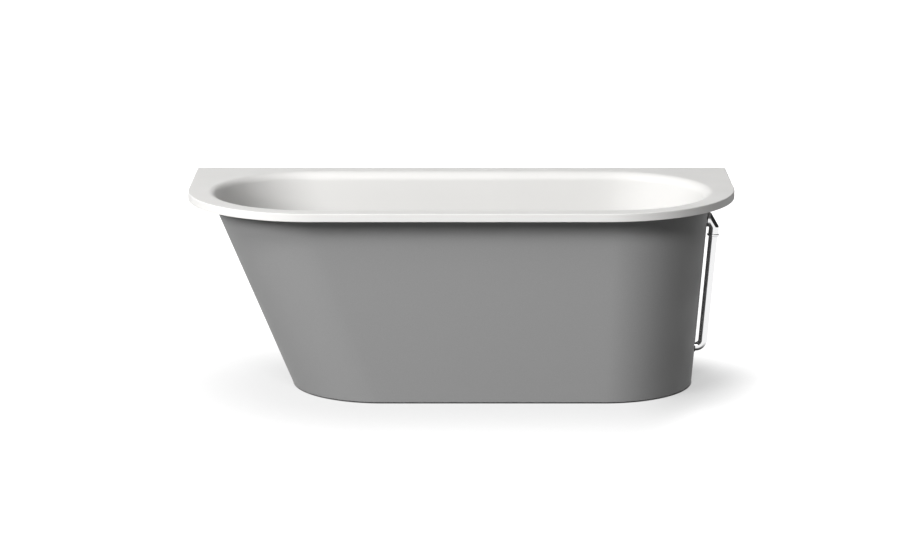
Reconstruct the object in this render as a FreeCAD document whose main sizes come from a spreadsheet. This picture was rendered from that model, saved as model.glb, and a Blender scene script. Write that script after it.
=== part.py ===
"""A back-to-wall bath: a white cast basin with a flat rim, a grey wrap-round skirt, and an overflow
pipe in plain view at the foot end, over a levelled steel cradle and a click plug waste with its trap.

Millimetres. The origin lies on the floor under the middle of the rim. X runs along the bath towards
the foot end, Y runs back to the room wall, Z is up.
"""
import FreeCAD, Part
import Sketcher
import math
import os
import re

SIZES = {
    # Rim and overall size
    "bath_length": 1700,
    "bath_depth": 750,
    "bath_height": 610,
    "rim_thickness": 25,
    "rim_head_corner": 394,
    "rim_foot_corner": 416,
    "rim_edge_round": 2.5,
    "rim_inner_round": 30,
    # Skirt: its top edge under the rim, and how far each side leans in on the way to the floor
    "skirt_head_overhang": 77,
    "skirt_foot_overhang": 81,
    "skirt_front_overhang": 66,
    "skirt_head_lean": 245,
    "skirt_foot_lean": 47,
    "skirt_front_lean": 24,
    "skirt_wall": 6,
    "skirt_floor_gap": 3,
    "skirt_room_gap": 3,
    "skirt_return": 45,
    # Basin
    "basin_clearance": 2,
    "basin_wall": 9,
    "basin_floor_height": 175,
    "basin_floor_thickness": 12,
    "basin_floor_round": 80,
    "basin_back_rest": 22,
    # Board bonded under the basin, and the steel rails that carry it
    "board_head_inset": 400,
    "board_foot_inset": 250,
    "board_width": 370,
    "board_thickness": 18,
    "board_corner": 60,
    "board_drain_opening": 58,
    "rail_side_inset": 35,
    "rail_head_inset": 50,
    "rail_foot_inset": 10,
    "rail_height": 27,
    "rail_web": 36,
    "rail_lip": 17,
    "rail_sheet": 2.5,
    "rail_screw_inset": 70,
    # Levelling feet
    "foot_inset": 45,
    "foot_radius": 27,
    "foot_edge": 4,
    "foot_height": 18,
    "foot_neck": 11,
    "foot_socket_floor": 5,
    "stud_radius": 6,
    "stud_headroom": 6,
    "stud_chamfer": 1,
    "nut_across": 19,
    "adjuster_nut_height": 10,
    "lock_nut_height": 7,
    # Small fasteners
    "screw_radius": 2.2,
    "screw_head_radius": 4.5,
    "screw_head_height": 2.6,
    "screw_bite": 13,
    # Clearances that every seat shares
    "running_gap": 0.15,
    "seal_gap": 0.3,
    "overrun": 8,
    # Drain flange in the basin floor
    "drain_inset": 370,
    "drain_radius": 36,
    "drain_recess": 8,
    "drain_recess_gap": 0.6,
    "drain_ring": 6.5,
    "drain_mouth": 29,
    "drain_tube_radius": 24,
    "drain_tube_wall": 2.6,
    "drain_tube_length": 46,
    "hub_drop": 30,
    "hub_height": 6,
    "hub_radius": 12,
    "hub_arm": 5,
    # Click plug
    "plug_radius": 31,
    "plug_rim": 1.2,
    "plug_crown": 5,
    "plug_lift_gap": 0.5,
    "plug_collar": 10,
    "plug_spigot": 6,
    "plug_seal_radius": 24.3,
    "plug_seal_top": 1.4,
    "plug_seal_height": 3,
    "plug_washer_radius": 14,
    "plug_washer_height": 2,
    "stem_radius": 4,
    "stem_length": 42,
    "piston_height": 4,
    "barrel_radius": 8,
    "barrel_wall": 1.6,
    "barrel_collar": 11,
    "barrel_guide": 6,
    "barrel_length": 62,
    "barrel_floor": 2,
    "spring_wire": 0.6,
    "spring_turns": 6,
    # Waste body below the floor
    "waste_seal_height": 2.5,
    "waste_flange": 38,
    "waste_flange_height": 4,
    "waste_neck": 30,
    "waste_chamber": 36,
    "waste_wall": 3,
    "waste_height": 74,
    "waste_shoulder": 16,
    "waste_spigot": 20,
    "waste_spigot_length": 16,
    "overflow_run_drop": 53,
    "port_radius": 18,
    "port_reach": 60,
    "port_depth": 16,
    "port_nut_radius": 23,
    "port_nut_length": 20,
    # Trap
    "trap_radius": 46,
    "trap_floor_gap": 10,
    "trap_wall": 3,
    "trap_lid": 4,
    "trap_neck": 26,
    "trap_neck_height": 8,
    "trap_nut_radius": 31,
    "dip_wall": 2,
    "dip_gap": 10,
    "outlet_height": 56,
    "outlet_radius": 20,
    "outlet_wall": 2,
    "outlet_relief": 0.3,
    "outlet_socket_wall": 3.5,
    "outlet_socket_reach": 70,
    "outlet_socket_depth": 22,
    "outlet_nut_radius": 29,
    "outlet_nut_length": 18,
    "outlet_end": 330,
    # Overflow at the foot end
    "overflow_drop": 93,
    "overflow_hole": 20,
    "overflow_tube_wall": 3,
    "overflow_tube_gap": 0.6,
    "overflow_tube_reach": 8,
    "overflow_flange_radius": 28,
    "overflow_flange_height": 3,
    "overflow_seat_radius": 31,
    "overflow_seat_depth": 1.5,
    "overflow_seal_height": 2.5,
    "overflow_bar": 7,
    "cap_radius": 33,
    "cap_edge": 3,
    "cap_height": 5,
    "cap_standoff": 9,
    "cap_post": 6,
    "cap_screw_radius": 2.5,
    "cap_screw_head": 4.5,
    "cap_screw_head_height": 2.4,
    "cap_screw_length": 16,
    "elbow_radius": 23,
    "elbow_seat_depth": 1.2,
    "elbow_seat_gap": 1,
    "elbow_seal_height": 2,
    "elbow_socket_radius": 16,
    "elbow_socket_drop": 43,
    "elbow_socket_depth": 22,
    "elbow_flow_radius": 10,
    "elbow_flow_length": 50,
    "elbow_wall": 3,
    "elbow_lip": 1,
    "elbow_bevel_top": 11,
    "elbow_bevel_drop": 20,
    "ring_nut_radius": 19,
    "ring_nut_height": 7,
    "ring_nut_chamfer": 1.2,
    "pipe_radius": 14,
    "pipe_wall": 1.5,
    "pipe_stand_off": 10.5,
    "pipe_bend": 22,
    "grommet_wall": 2.5,
    "grommet_lip": 2,
    # Wall brackets under the back of the rim
    "bracket_inset": 430,
    "bracket_width": 60,
    "bracket_leg": 46,
    "bracket_fall": 62,
    "bracket_sheet": 3,
    "bracket_hole": 3.3,
    "bracket_hole_spacing": 34,
    "bracket_screw_spacing": 30,
}

doc = FreeCAD.newDocument("bath")
sheet = doc.addObject("Spreadsheet::Sheet", "Sizes")
for row, (name, value) in enumerate(SIZES.items(), start=1):
    sheet.set(f"A{row}", name)
    sheet.set(f"B{row}", str(value))
    sheet.setAlias(f"B{row}", name)
doc.recompute()

NODES = {}
WORD = re.compile(r"[a-z][a-z_0-9]*")
UP = FreeCAD.Vector(0, 0, 1)
ALONG = FreeCAD.Vector(1, 0, 0)
ACROSS = FreeCAD.Vector(0, 1, 0)
TOUCH = 0.001


def bound(text):
    """The formula with each size read from the sheet."""
    return WORD.sub(lambda hit: f"Sizes.{hit.group()}" if hit.group() in SIZES else hit.group(), text)


def size(text):
    """What the formula comes to now, as a plain number."""
    result = sheet.evalExpression(text)
    return getattr(result, "Value", result)


def bind(thing, prop, text):
    """Tie one property to a formula over the sheet."""
    thing.setExpression(prop, bound(text))


def move(thing, prop, at, lean, axis=ACROSS):
    """Put a placement at a point, turned about an axis by an angle."""
    setattr(thing, prop, FreeCAD.Placement(FreeCAD.Vector(), FreeCAD.Rotation(axis, 1)))
    for letter, text in zip("xyz", at):
        bind(thing, f"{prop}.Base.{letter}", text)
    bind(thing, f"{prop}.Rotation.Angle", lean)


def new_body(label, at=("0", "0", "0"), lean="0", axis=ACROSS):
    """A body that is one piece of the bath, at its place."""
    body = doc.addObject("PartDesign::Body", label)
    body.Label = label
    move(body, "Placement", at, lean, axis)
    NODES[label] = body
    return body


def attach(thing, body, role, offset, lean="0"):
    """Fix a sketch or a primitive to one of the body's own planes, moved off it by an offset."""
    support = next(item for item in body.Origin.OriginFeatures if item.Role == role)
    thing.AttachmentSupport = (support, [""])
    thing.MapMode = "FlatFace"
    move(thing, "AttachmentOffset", offset, lean)


def arc_between(start, end, radius):
    """The shorter arc from start to end: anticlockwise if the radius is positive, else clockwise."""
    chord = end - start
    rise = math.sqrt(max(radius * radius - chord.Length * chord.Length / 4, 0))
    side = FreeCAD.Vector(-chord.y, chord.x, 0).normalize() * math.copysign(rise, radius)
    centre = (start + end) / 2 + side
    ends = (start, end) if radius > 0 else (end, start)
    angles = [math.atan2(point.y - centre.y, point.x - centre.x) for point in ends]
    return Part.ArcOfCircle(Part.Circle(centre, UP, abs(radius)), angles[0], angles[1])


def new_sketch(body, role, points, offset=("0", "0", "0"), lean="0", closed=True):
    """An outline through points (x, y) or (x, y, radius), the radius being that of the arc to the next."""
    sketch = body.newObject("Sketcher::SketchObject", "Outline")
    attach(sketch, body, role, offset, lean)
    places = [FreeCAD.Vector(size(point[0]), size(point[1]), 0) for point in points]
    count = len(points) if closed else len(points) - 1
    heads, tails = [], []
    for index in range(count):
        start, end = places[index], places[(index + 1) % len(points)]
        if len(points[index]) > 2:
            radius = size(points[index][2])
            sketch.addGeometry(arc_between(start, end, radius), False)
            heads.append(1 if radius > 0 else 2)
            limit = sketch.addConstraint(Sketcher.Constraint("Radius", index, abs(radius)))
            bind(sketch, f"Constraints[{limit}]", f"abs({points[index][2]})")
        else:
            sketch.addGeometry(Part.LineSegment(start, end), False)
            heads.append(1)
        tails.append(3 - heads[-1])
    for index in range(count if closed else count - 1):
        after = (index + 1) % count
        sketch.addConstraint(Sketcher.Constraint("Coincident", index, tails[index], after, heads[after]))
    for index, point in enumerate(points):
        edge, corner = (index, heads[index]) if index < count else (count - 1, tails[count - 1])
        for kind, text, value in (("DistanceX", point[0], places[index].x),
                                  ("DistanceY", point[1], places[index].y)):
            limit = sketch.addConstraint(Sketcher.Constraint(kind, -1, 1, edge, corner, value))
            bind(sketch, f"Constraints[{limit}]", text)
    return sketch


def new_circle(body, role, radius, offset=("0", "0", "0"), lean="0"):
    """A circle about the origin of its plane, for a swept tube."""
    sketch = body.newObject("Sketcher::SketchObject", "Ring")
    attach(sketch, body, role, offset, lean)
    sketch.addGeometry(Part.Circle(FreeCAD.Vector(), UP, size(radius)), False)
    sketch.addConstraint(Sketcher.Constraint("Coincident", 0, 3, -1, 1))
    limit = sketch.addConstraint(Sketcher.Constraint("Radius", 0, size(radius)))
    bind(sketch, f"Constraints[{limit}]", radius)
    return sketch


def extrude(body, kind, sketch, length):
    """A pad along the sketch's normal, or a pocket against it."""
    feature = body.newObject(f"PartDesign::{kind}", kind)
    feature.Profile = sketch
    bind(feature, "Length", length)
    return feature


def loft(body, kind, lower, upper):
    """Straight-ruled walls between two outlines."""
    feature = body.newObject(f"PartDesign::{kind}", kind)
    feature.Profile = lower
    feature.Sections = [upper]
    feature.Ruled = True
    return feature


def cylinder(body, kind, role, radius, height, offset=("0", "0", "0"), lean="0"):
    """A round bar added to a body, or a round hole cut in it."""
    feature = body.newObject(f"PartDesign::{kind}Cylinder", kind)
    attach(feature, body, role, offset, lean)
    bind(feature, "Radius", radius)
    bind(feature, "Height", height)
    return feature


def turned(label, points, at, lean="0", axis=ACROSS):
    """A piece turned about its own upright axis from a half outline of (radius, height) points."""
    body = new_body(label, at, lean, axis)
    sketch = new_sketch(body, "XZ_Plane", points)
    feature = body.newObject("PartDesign::Revolution", "Revolution")
    feature.Profile = sketch
    feature.ReferenceAxis = (sketch, ["V_Axis"])
    return body


def round_edges(body, radius, chosen):
    """Round the edges of a body that a test on each edge's box picks out."""
    doc.recompute()
    base = body.Tip
    names = [f"Edge{index}" for index, edge in enumerate(base.Shape.Edges, start=1) if chosen(edge.BoundBox)]
    feature = body.newObject("PartDesign::Fillet", "Round")
    feature.Base = (base, names)
    bind(feature, "Radius", radius)
    doc.recompute()


def near(value, text):
    """True where a measured length is what the formula says."""
    return math.isclose(value, size(text), abs_tol=TOUCH)


# Heights, and the lean of the foot end, that many pieces share
RIM_UNDER = "(bath_height - rim_thickness)"
FLOOR_TOP = "basin_floor_height"
FLOOR_UNDER = "(basin_floor_height - basin_floor_thickness)"
BOARD_UNDER = f"({FLOOR_UNDER} - board_thickness)"
WEB_UNDER = f"({BOARD_UNDER} - rail_height)"
RUN_HEIGHT = f"({FLOOR_UNDER} - overflow_run_drop)"
OVERFLOW_HEIGHT = "(bath_height - overflow_drop)"
FOOT_LEAN = f"atan(skirt_foot_lean / {RIM_UNDER})"
SKIRT_BACK = "(bath_depth / 2 - skirt_room_gap)"
BOARD_HEAD = "(board_head_inset - bath_length / 2)"
BOARD_FOOT = "(bath_length / 2 - board_foot_inset)"
RAIL_HEAD = f"({BOARD_HEAD} + rail_head_inset)"
RAIL_FOOT = f"({BOARD_FOOT} - rail_foot_inset)"
DRAIN = "(bath_length / 2 - drain_inset)"
BASIN_OUTSIDE = "(skirt_wall + basin_clearance)"
BASIN_INSIDE = "(skirt_wall + basin_clearance + basin_wall)"


def fall(height):
    """How far a height lies below the rim, as a share of the way to the floor."""
    return f"(({RIM_UNDER} - ({height})) / {RIM_UNDER})"


def skirt_head(height):
    """Where the skirt's head end stands at a height."""
    return f"(skirt_head_overhang - bath_length / 2 + skirt_head_lean * {fall(height)})"


def skirt_foot(height):
    """Where the skirt's foot end stands at a height."""
    return f"(bath_length / 2 - skirt_foot_overhang - skirt_foot_lean * {fall(height)})"


def skirt_half(height):
    """How far the skirt's front stands from the middle of the bath at a height."""
    return f"(bath_depth / 2 - skirt_front_overhang - skirt_front_lean * {fall(height)})"


def skirt_outline(height, inset, back):
    """The skirt's plan: a straight front, two quarter rounds, and straight ends back to the wall."""
    head = f"({skirt_head(height)} + {inset})"
    foot = f"({skirt_foot(height)} - {inset})"
    half = f"({skirt_half(height)} - {inset})"
    return [(f"{head} + {half}", f"-{half}"), (f"{foot} - {half}", f"-{half}", half), (foot, "0"),
            (foot, back), (head, back), (head, "0", half)]


def basin_outline(height, inset):
    """The basin's plan: two straight sides and two round ends, with the backrest leaning a little more."""
    head = f"({skirt_head(height)} + {inset} + basin_back_rest * {fall(height)})"
    foot = f"({skirt_foot(height)} - {inset})"
    half = f"({skirt_half(height)} - {inset})"
    return [(f"{head} + {half}", f"-{half}"), (f"{foot} - {half}", f"-{half}", half), (foot, "0", half),
            (f"{foot} - {half}", half), (f"{head} + {half}", half, half), (head, "0", half)]


def overflow_point(out, up="0"):
    """A point beside the overflow hole: so far out of the skirt, and so far up along it."""
    return (f"({skirt_foot(OVERFLOW_HEIGHT)} + cos({FOOT_LEAN}) * ({out}) + sin({FOOT_LEAN}) * ({up}))", "0",
            f"({OVERFLOW_HEIGHT} - sin({FOOT_LEAN}) * ({out}) + cos({FOOT_LEAN}) * ({up}))")


OUTWARD = f"90 deg + {FOOT_LEAN}"
TO_FOOT_END = "90 deg"
TO_WALL = "-90 deg"
PIPE_OUT = "(pipe_stand_off + pipe_radius)"
ELBOW_FACE = "(elbow_seal_height - elbow_seat_depth)"
BASIN_FACE = f"(-{BASIN_INSIDE} * cos({FOOT_LEAN}))"

# Small fasteners: where each group's screws stand, and the holes that take them
RAIL_SIDES = {"front_rail": "(rail_side_inset - board_width / 2)",
              "rear_rail": "(board_width / 2 - rail_side_inset)"}
LIP_MIDDLE = "(rail_web + rail_lip) / 2"
RAIL_SCREW_ENDS = [f"{RAIL_HEAD} + rail_screw_inset", f"{RAIL_FOOT} - rail_screw_inset"]
RAIL_SCREWS = [(along, f"{side} + {sign} * {LIP_MIDDLE}")
               for side in RAIL_SIDES.values() for sign in (-1, 1) for along in RAIL_SCREW_ENDS]
BRACKET_SIDES = {"wall_bracket_head": "(bracket_inset - bath_length / 2)",
                 "wall_bracket_foot": "(bath_length / 2 - bracket_inset)"}
BRACKET_SCREW_LINE = "(bath_depth / 2 - (bracket_leg + bracket_sheet) / 2)"
BRACKET_SCREWS = [(f"{side} + {sign} * bracket_screw_spacing / 2", BRACKET_SCREW_LINE)
                  for side in BRACKET_SIDES.values() for sign in (-1, 1)]
FOOT_ENDS = [f"{RAIL_HEAD} + foot_inset", f"{RAIL_FOOT} - foot_inset"]
FEET = [(along, side) for side in RAIL_SIDES.values() for along in FOOT_ENDS]
PILOT = "screw_radius + running_gap"


def pilot_holes(body, places, seat):
    """Blind holes, from below, for the screws that bite into a piece."""
    for along, across in places:
        cylinder(body, "Subtractive", "XY_Plane", PILOT, "overrun + screw_bite + seal_gap",
                 (along, across, f"{seat} - overrun"))


def make_basin():
    """The white casting: a flat rim, a bowl with a leaning backrest, and seats for drain and overflow."""
    basin = new_body("bath_basin")
    rim = new_sketch(basin, "XY_Plane", [
        ("rim_head_corner - bath_length / 2", "-bath_depth / 2"),
        ("bath_length / 2 - rim_foot_corner", "-bath_depth / 2", "rim_foot_corner"),
        ("bath_length / 2", "rim_foot_corner - bath_depth / 2"),
        ("bath_length / 2", "bath_depth / 2"),
        ("-bath_length / 2", "bath_depth / 2"),
        ("-bath_length / 2", "rim_head_corner - bath_depth / 2", "rim_head_corner"),
    ], ("0", "0", RIM_UNDER))
    extrude(basin, "Pad", rim, "rim_thickness")
    bottom = new_sketch(basin, "XY_Plane", basin_outline(FLOOR_UNDER, BASIN_OUTSIDE), ("0", "0", FLOOR_UNDER))
    shoulder = new_sketch(basin, "XY_Plane", basin_outline(RIM_UNDER, BASIN_OUTSIDE), ("0", "0", RIM_UNDER))
    loft(basin, "AdditiveLoft", bottom, shoulder)
    mouth_height = "bath_height + overrun"
    floor = new_sketch(basin, "XY_Plane", basin_outline(FLOOR_TOP, BASIN_INSIDE), ("0", "0", FLOOR_TOP))
    mouth = new_sketch(basin, "XY_Plane", basin_outline(mouth_height, BASIN_INSIDE), ("0", "0", mouth_height))
    loft(basin, "SubtractiveLoft", floor, mouth)

    def level(box, height):
        return near(box.ZMin, height) and near(box.ZMax, height)

    def on_outline(box):
        ends = near(box.XMin, "-bath_length / 2") or near(box.XMax, "bath_length / 2")
        return ends or near(box.YMin, "-bath_depth / 2") or near(box.YMax, "bath_depth / 2")

    def on_wall_side(box):
        return near(box.YMin, "bath_depth / 2")

    round_edges(basin, "basin_floor_round", lambda box: level(box, FLOOR_TOP))
    round_edges(basin, "basin_floor_round + basin_wall", lambda box: level(box, FLOOR_UNDER))
    round_edges(basin, "rim_inner_round", lambda box: level(box, "bath_height") and not on_outline(box))
    round_edges(basin, "rim_edge_round", lambda box: (
        level(box, "bath_height") and on_outline(box) and not on_wall_side(box)))
    cylinder(basin, "Subtractive", "XY_Plane", "drain_radius + drain_recess_gap", "drain_recess + overrun",
             (DRAIN, "0", f"{FLOOR_TOP} - drain_recess"))
    cylinder(basin, "Subtractive", "XY_Plane", "drain_tube_radius + drain_recess_gap",
             "basin_floor_thickness + 2 * overrun", (DRAIN, "0", f"{FLOOR_UNDER} - overrun"))
    cylinder(basin, "Subtractive", "XY_Plane", "overflow_seat_radius", "overrun + overflow_seat_depth",
             overflow_point(f"{BASIN_FACE} - overrun"), OUTWARD)
    cylinder(basin, "Subtractive", "XY_Plane", "overflow_hole", "basin_wall + 2 * overrun",
             overflow_point(f"{BASIN_FACE} - overrun"), OUTWARD)
    pilot_holes(basin, BRACKET_SCREWS, RIM_UNDER)


def make_skirt():
    """The grey shell: leaning walls from floor to rim, turned in at the back, bored for the overflow."""
    skirt = new_body("skirt_panel")
    low, high = "skirt_floor_gap", RIM_UNDER
    foot = new_sketch(skirt, "XY_Plane", skirt_outline(low, "0", SKIRT_BACK), ("0", "0", low))
    top = new_sketch(skirt, "XY_Plane", skirt_outline(high, "0", SKIRT_BACK), ("0", "0", high))
    loft(skirt, "AdditiveLoft", foot, top)
    low, high = "(skirt_floor_gap - overrun)", f"({RIM_UNDER} + overrun)"
    inner_back = f"({SKIRT_BACK} - skirt_wall)"
    foot = new_sketch(skirt, "XY_Plane", skirt_outline(low, "skirt_wall", inner_back), ("0", "0", low))
    top = new_sketch(skirt, "XY_Plane", skirt_outline(high, "skirt_wall", inner_back), ("0", "0", high))
    loft(skirt, "SubtractiveLoft", foot, top)
    opening = new_sketch(skirt, "XZ_Plane", [
        (f"{skirt_head(low)} + skirt_return", low), (f"{skirt_foot(low)} - skirt_return", low),
        (f"{skirt_foot(high)} - skirt_return", high), (f"{skirt_head(high)} + skirt_return", high),
    ], ("0", "0", f"overrun - {inner_back}"))
    extrude(skirt, "Pocket", opening, "skirt_wall + 2 * overrun")
    cylinder(skirt, "Subtractive", "XY_Plane", "elbow_radius + elbow_seat_gap", "elbow_seat_depth + overrun",
             overflow_point("-elbow_seat_depth"), OUTWARD)
    cylinder(skirt, "Subtractive", "XY_Plane", "overflow_hole", "skirt_wall + 2 * overrun",
             overflow_point("-skirt_wall - overrun"), OUTWARD)
    cylinder(skirt, "Subtractive", "YZ_Plane", "pipe_radius + grommet_wall + 2 * running_gap",
             "skirt_wall + 2 * overrun",
             ("0", RUN_HEIGHT, f"{skirt_foot(RUN_HEIGHT)} - skirt_wall - overrun"))


def make_board():
    """The stiffening board under the basin floor, open round the drain."""
    board = new_body("base_board")
    outline = new_sketch(board, "XY_Plane", [
        (f"{BOARD_HEAD} + board_corner", "-board_width / 2"),
        (f"{BOARD_FOOT} - board_corner", "-board_width / 2", "board_corner"),
        (BOARD_FOOT, "board_corner - board_width / 2"),
        (BOARD_FOOT, "board_width / 2 - board_corner", "board_corner"),
        (f"{BOARD_FOOT} - board_corner", "board_width / 2"),
        (f"{BOARD_HEAD} + board_corner", "board_width / 2", "board_corner"),
        (BOARD_HEAD, "board_width / 2 - board_corner"),
        (BOARD_HEAD, "board_corner - board_width / 2", "board_corner"),
    ], ("0", "0", BOARD_UNDER))
    extrude(board, "Pad", outline, "board_thickness")
    cylinder(board, "Subtractive", "XY_Plane", "board_drain_opening", "board_thickness + 2 * overrun",
             (DRAIN, "0", f"{BOARD_UNDER} - overrun"))
    pilot_holes(board, RAIL_SCREWS, BOARD_UNDER)


def make_rail(label, side):
    """A folded steel rail of hat section, its lips up against the board."""
    rail = new_body(label, ("0", side, "0"))
    web, lip_under = "rail_web / 2", f"{BOARD_UNDER} - rail_sheet"
    inside, web_top = "(rail_web / 2 - rail_sheet)", f"{WEB_UNDER} + rail_sheet"
    brim = "(rail_web / 2 + rail_lip)"
    half = [(web, WEB_UNDER), (web, lip_under), (brim, lip_under), (brim, BOARD_UNDER),
            (inside, BOARD_UNDER), (inside, web_top)]
    other = [(f"-{across}", height) for across, height in reversed(half)]
    outline = new_sketch(rail, "YZ_Plane", half + other, ("0", "0", RAIL_HEAD))
    extrude(rail, "Pad", outline, f"{RAIL_FOOT} - {RAIL_HEAD}")
    for along in FOOT_ENDS:
        cylinder(rail, "Subtractive", "XY_Plane", "stud_radius + seal_gap", "rail_sheet + 2 * overrun",
                 (along, "0", f"{WEB_UNDER} - overrun"))
    for along in RAIL_SCREW_ENDS:
        for sign in (-1, 1):
            cylinder(rail, "Subtractive", "XY_Plane", PILOT, "rail_sheet + 2 * overrun",
                     (along, f"{sign} * {LIP_MIDDLE}", f"{BOARD_UNDER} - rail_sheet - overrun"))


def make_foot(number, place):
    """A levelling foot: a threaded stud in a round pad on the floor."""
    stud_top = f"({BOARD_UNDER} - stud_headroom)"
    bore = "stud_radius + running_gap"
    turned(f"foot_pad_{number}", [
        ("0", "0"), ("foot_radius", "0"), ("foot_radius", "foot_edge"), ("foot_neck", "foot_height"),
        (bore, "foot_height"), (bore, "foot_socket_floor"), ("0", "foot_socket_floor")], (*place, "0"))
    turned(f"foot_stud_{number}", [
        ("0", "foot_socket_floor"), ("stud_radius", "foot_socket_floor"),
        ("stud_radius", f"{stud_top} - stud_chamfer"), ("stud_radius - stud_chamfer", stud_top),
        ("0", stud_top)], (*place, "0"))


def bar(kind, name, base, at, **lengths):
    """A plain solid of the part modeller at a place, with its lengths tied to the sheet."""
    solid = doc.addObject(kind, name)
    for prop, text in lengths.items():
        bind(solid, prop, text)
    for axis, text in zip("xyz", (*at, base)):
        bind(solid, f"Placement.Base.{axis}", text)
    return solid


def group(label, solids):
    """Like fasteners, kept as separate solids in one node."""
    node = doc.addObject("Part::Compound", label)
    node.Label = label
    node.Links = solids
    NODES[label] = node


def make_nuts(label, height, base):
    """One hexagon nut on each foot's stud."""
    nuts = []
    for place in FEET:
        blank = bar("Part::Prism", "Blank", base, place, Circumradius="nut_across / sqrt(3)", Height=height)
        blank.Polygon = 6
        thread = bar("Part::Cylinder", "Thread", base, place,
                     Radius="stud_radius + running_gap", Height=height)
        nut = doc.addObject("Part::Cut", "Nut")
        nut.Base = blank
        nut.Tool = thread
        nuts.append(nut)
    group(label, nuts)


def make_screws(label, places, seat, sheet_thickness):
    """Pan-head screws driven up through a sheet from below."""
    screws = []
    for place in places:
        head = bar("Part::Cylinder", "Head", f"{seat} - screw_head_height", place,
                   Radius="screw_head_radius", Height="screw_head_height")
        shank = bar("Part::Cylinder", "Shank", seat, place,
                    Radius="screw_radius", Height=f"{sheet_thickness} + screw_bite")
        screw = doc.addObject("Part::Fuse", "Screw")
        screw.Base = head
        screw.Tool = shank
        screws.append(screw)
    group(label, screws)


def make_bracket(label, side):
    """A steel angle under the back of the rim, with two holes for wall screws."""
    bracket = new_body(label, (side, "0", "0"))
    back, under = "(bath_depth / 2)", f"({RIM_UNDER} - bracket_sheet)"
    toe = f"({RIM_UNDER} - bracket_fall)"
    outline = new_sketch(bracket, "YZ_Plane", [
        (f"{back} - bracket_leg", under), (f"{back} - bracket_sheet", under),
        (f"{back} - bracket_sheet", toe), (back, toe), (back, RIM_UNDER), (f"{back} - bracket_leg", RIM_UNDER),
    ], ("0", "0", "-bracket_width / 2"))
    extrude(bracket, "Pad", outline, "bracket_width")
    for sign in (-1, 1):
        cylinder(bracket, "Subtractive", "XZ_Plane", "bracket_hole", "bracket_sheet + 2 * overrun",
                 (f"{sign} * bracket_hole_spacing / 2", f"{RIM_UNDER} - (bracket_fall + bracket_sheet) / 2",
                  f"-{back} - overrun"))
        cylinder(bracket, "Subtractive", "XY_Plane", PILOT, "bracket_sheet + 2 * overrun",
                 (f"{sign} * bracket_screw_spacing / 2", BRACKET_SCREW_LINE, f"{under} - overrun"))


def make_drain():
    """The chrome drain flange let into the floor, with a spider that carries the click barrel."""
    at_floor = (DRAIN, "0", FLOOR_TOP)
    bore = "(drain_tube_radius - drain_tube_wall)"
    flange = turned("drain_flange", [
        (bore, "-drain_tube_length"), ("drain_tube_radius", "-drain_tube_length"),
        ("drain_tube_radius", "-drain_ring"), ("drain_radius", "-drain_ring"), ("drain_radius", "0"),
        ("drain_mouth", "0"), (bore, f"{bore} - drain_mouth")], at_floor)
    half_arm, reach = "hub_arm / 2", f"({bore} + drain_tube_wall / 2)"
    hub_under = "(-hub_drop - hub_height)"
    cross = [(half_arm, f"-{reach}"), (half_arm, f"-{half_arm}"), (reach, f"-{half_arm}"), (reach, half_arm),
             (half_arm, half_arm), (half_arm, reach)]
    cross += [(f"-({along})", f"-({across})") for along, across in cross]
    extrude(flange, "Pad", new_sketch(flange, "XY_Plane", cross, ("0", "0", hub_under)), "hub_height")
    cylinder(flange, "Additive", "XY_Plane", "hub_radius", "hub_height", ("0", "0", hub_under))
    cylinder(flange, "Subtractive", "XY_Plane", "barrel_radius + running_gap", "hub_height + 2 * overrun",
             ("0", "0", f"{hub_under} - overrun"))
    turned("drain_seal", [
        ("drain_tube_radius + running_gap", "-drain_recess"), ("drain_radius", "-drain_recess"),
        ("drain_radius", "-drain_ring"), ("drain_tube_radius + running_gap", "-drain_ring")], at_floor)


def make_plug():
    """The click plug: a domed cap on a stem, its seal, and the sprung barrel that latches it."""
    at_floor = (DRAIN, "0", FLOOR_TOP)
    seal_top, seal_under = "-plug_seal_top", "(-plug_seal_top - plug_seal_height)"
    washer_under = f"({seal_under} - plug_washer_height)"
    spigot_top = "(plug_lift_gap + plug_rim)"
    crown = "(plug_crown - plug_rim)"
    dome = f"((plug_radius * plug_radius + {crown} * {crown}) / (2 * {crown}))"
    turned("plug_cap", [
        ("plug_spigot + running_gap", seal_top), ("plug_collar", seal_top), ("plug_collar", "plug_lift_gap"),
        ("plug_radius", "plug_lift_gap"), ("plug_radius", spigot_top, dome),
        ("0", "plug_lift_gap + plug_crown"), ("0", spigot_top), ("plug_spigot + running_gap", spigot_top),
    ], at_floor)
    turned("plug_seal", [
        ("plug_spigot + running_gap", seal_under), ("plug_seal_radius", seal_under),
        ("plug_seal_radius", seal_top), ("plug_spigot + running_gap", seal_top)], at_floor)
    piston = "(barrel_radius - barrel_wall - seal_gap)"
    turned("plug_stem", [
        ("0", "-stem_length - piston_height"), (piston, "-stem_length - piston_height"),
        (piston, "-stem_length"), ("stem_radius", "-stem_length"), ("stem_radius", washer_under),
        ("plug_washer_radius", washer_under), ("plug_washer_radius", seal_under),
        ("plug_spigot", seal_under), ("plug_spigot", spigot_top), ("0", spigot_top)], at_floor)
    cavity, guide = "(barrel_radius - barrel_wall)", "stem_radius + seal_gap"
    turned("click_barrel", [
        ("0", "-barrel_length"), ("barrel_radius", "-barrel_length"), ("barrel_radius", "-hub_drop"),
        ("barrel_collar", "-hub_drop"), ("barrel_collar", "barrel_guide - hub_drop"),
        (guide, "barrel_guide - hub_drop"), (guide, "-hub_drop"), (cavity, "-hub_drop"),
        (cavity, "barrel_floor - barrel_length"), ("0", "barrel_floor - barrel_length")], at_floor)
    make_spring(DRAIN, f"({FLOOR_TOP} - barrel_length + barrel_floor)",
                f"({FLOOR_TOP} - stem_length - piston_height)", f"({cavity} - seal_gap - spring_wire)")


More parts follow.
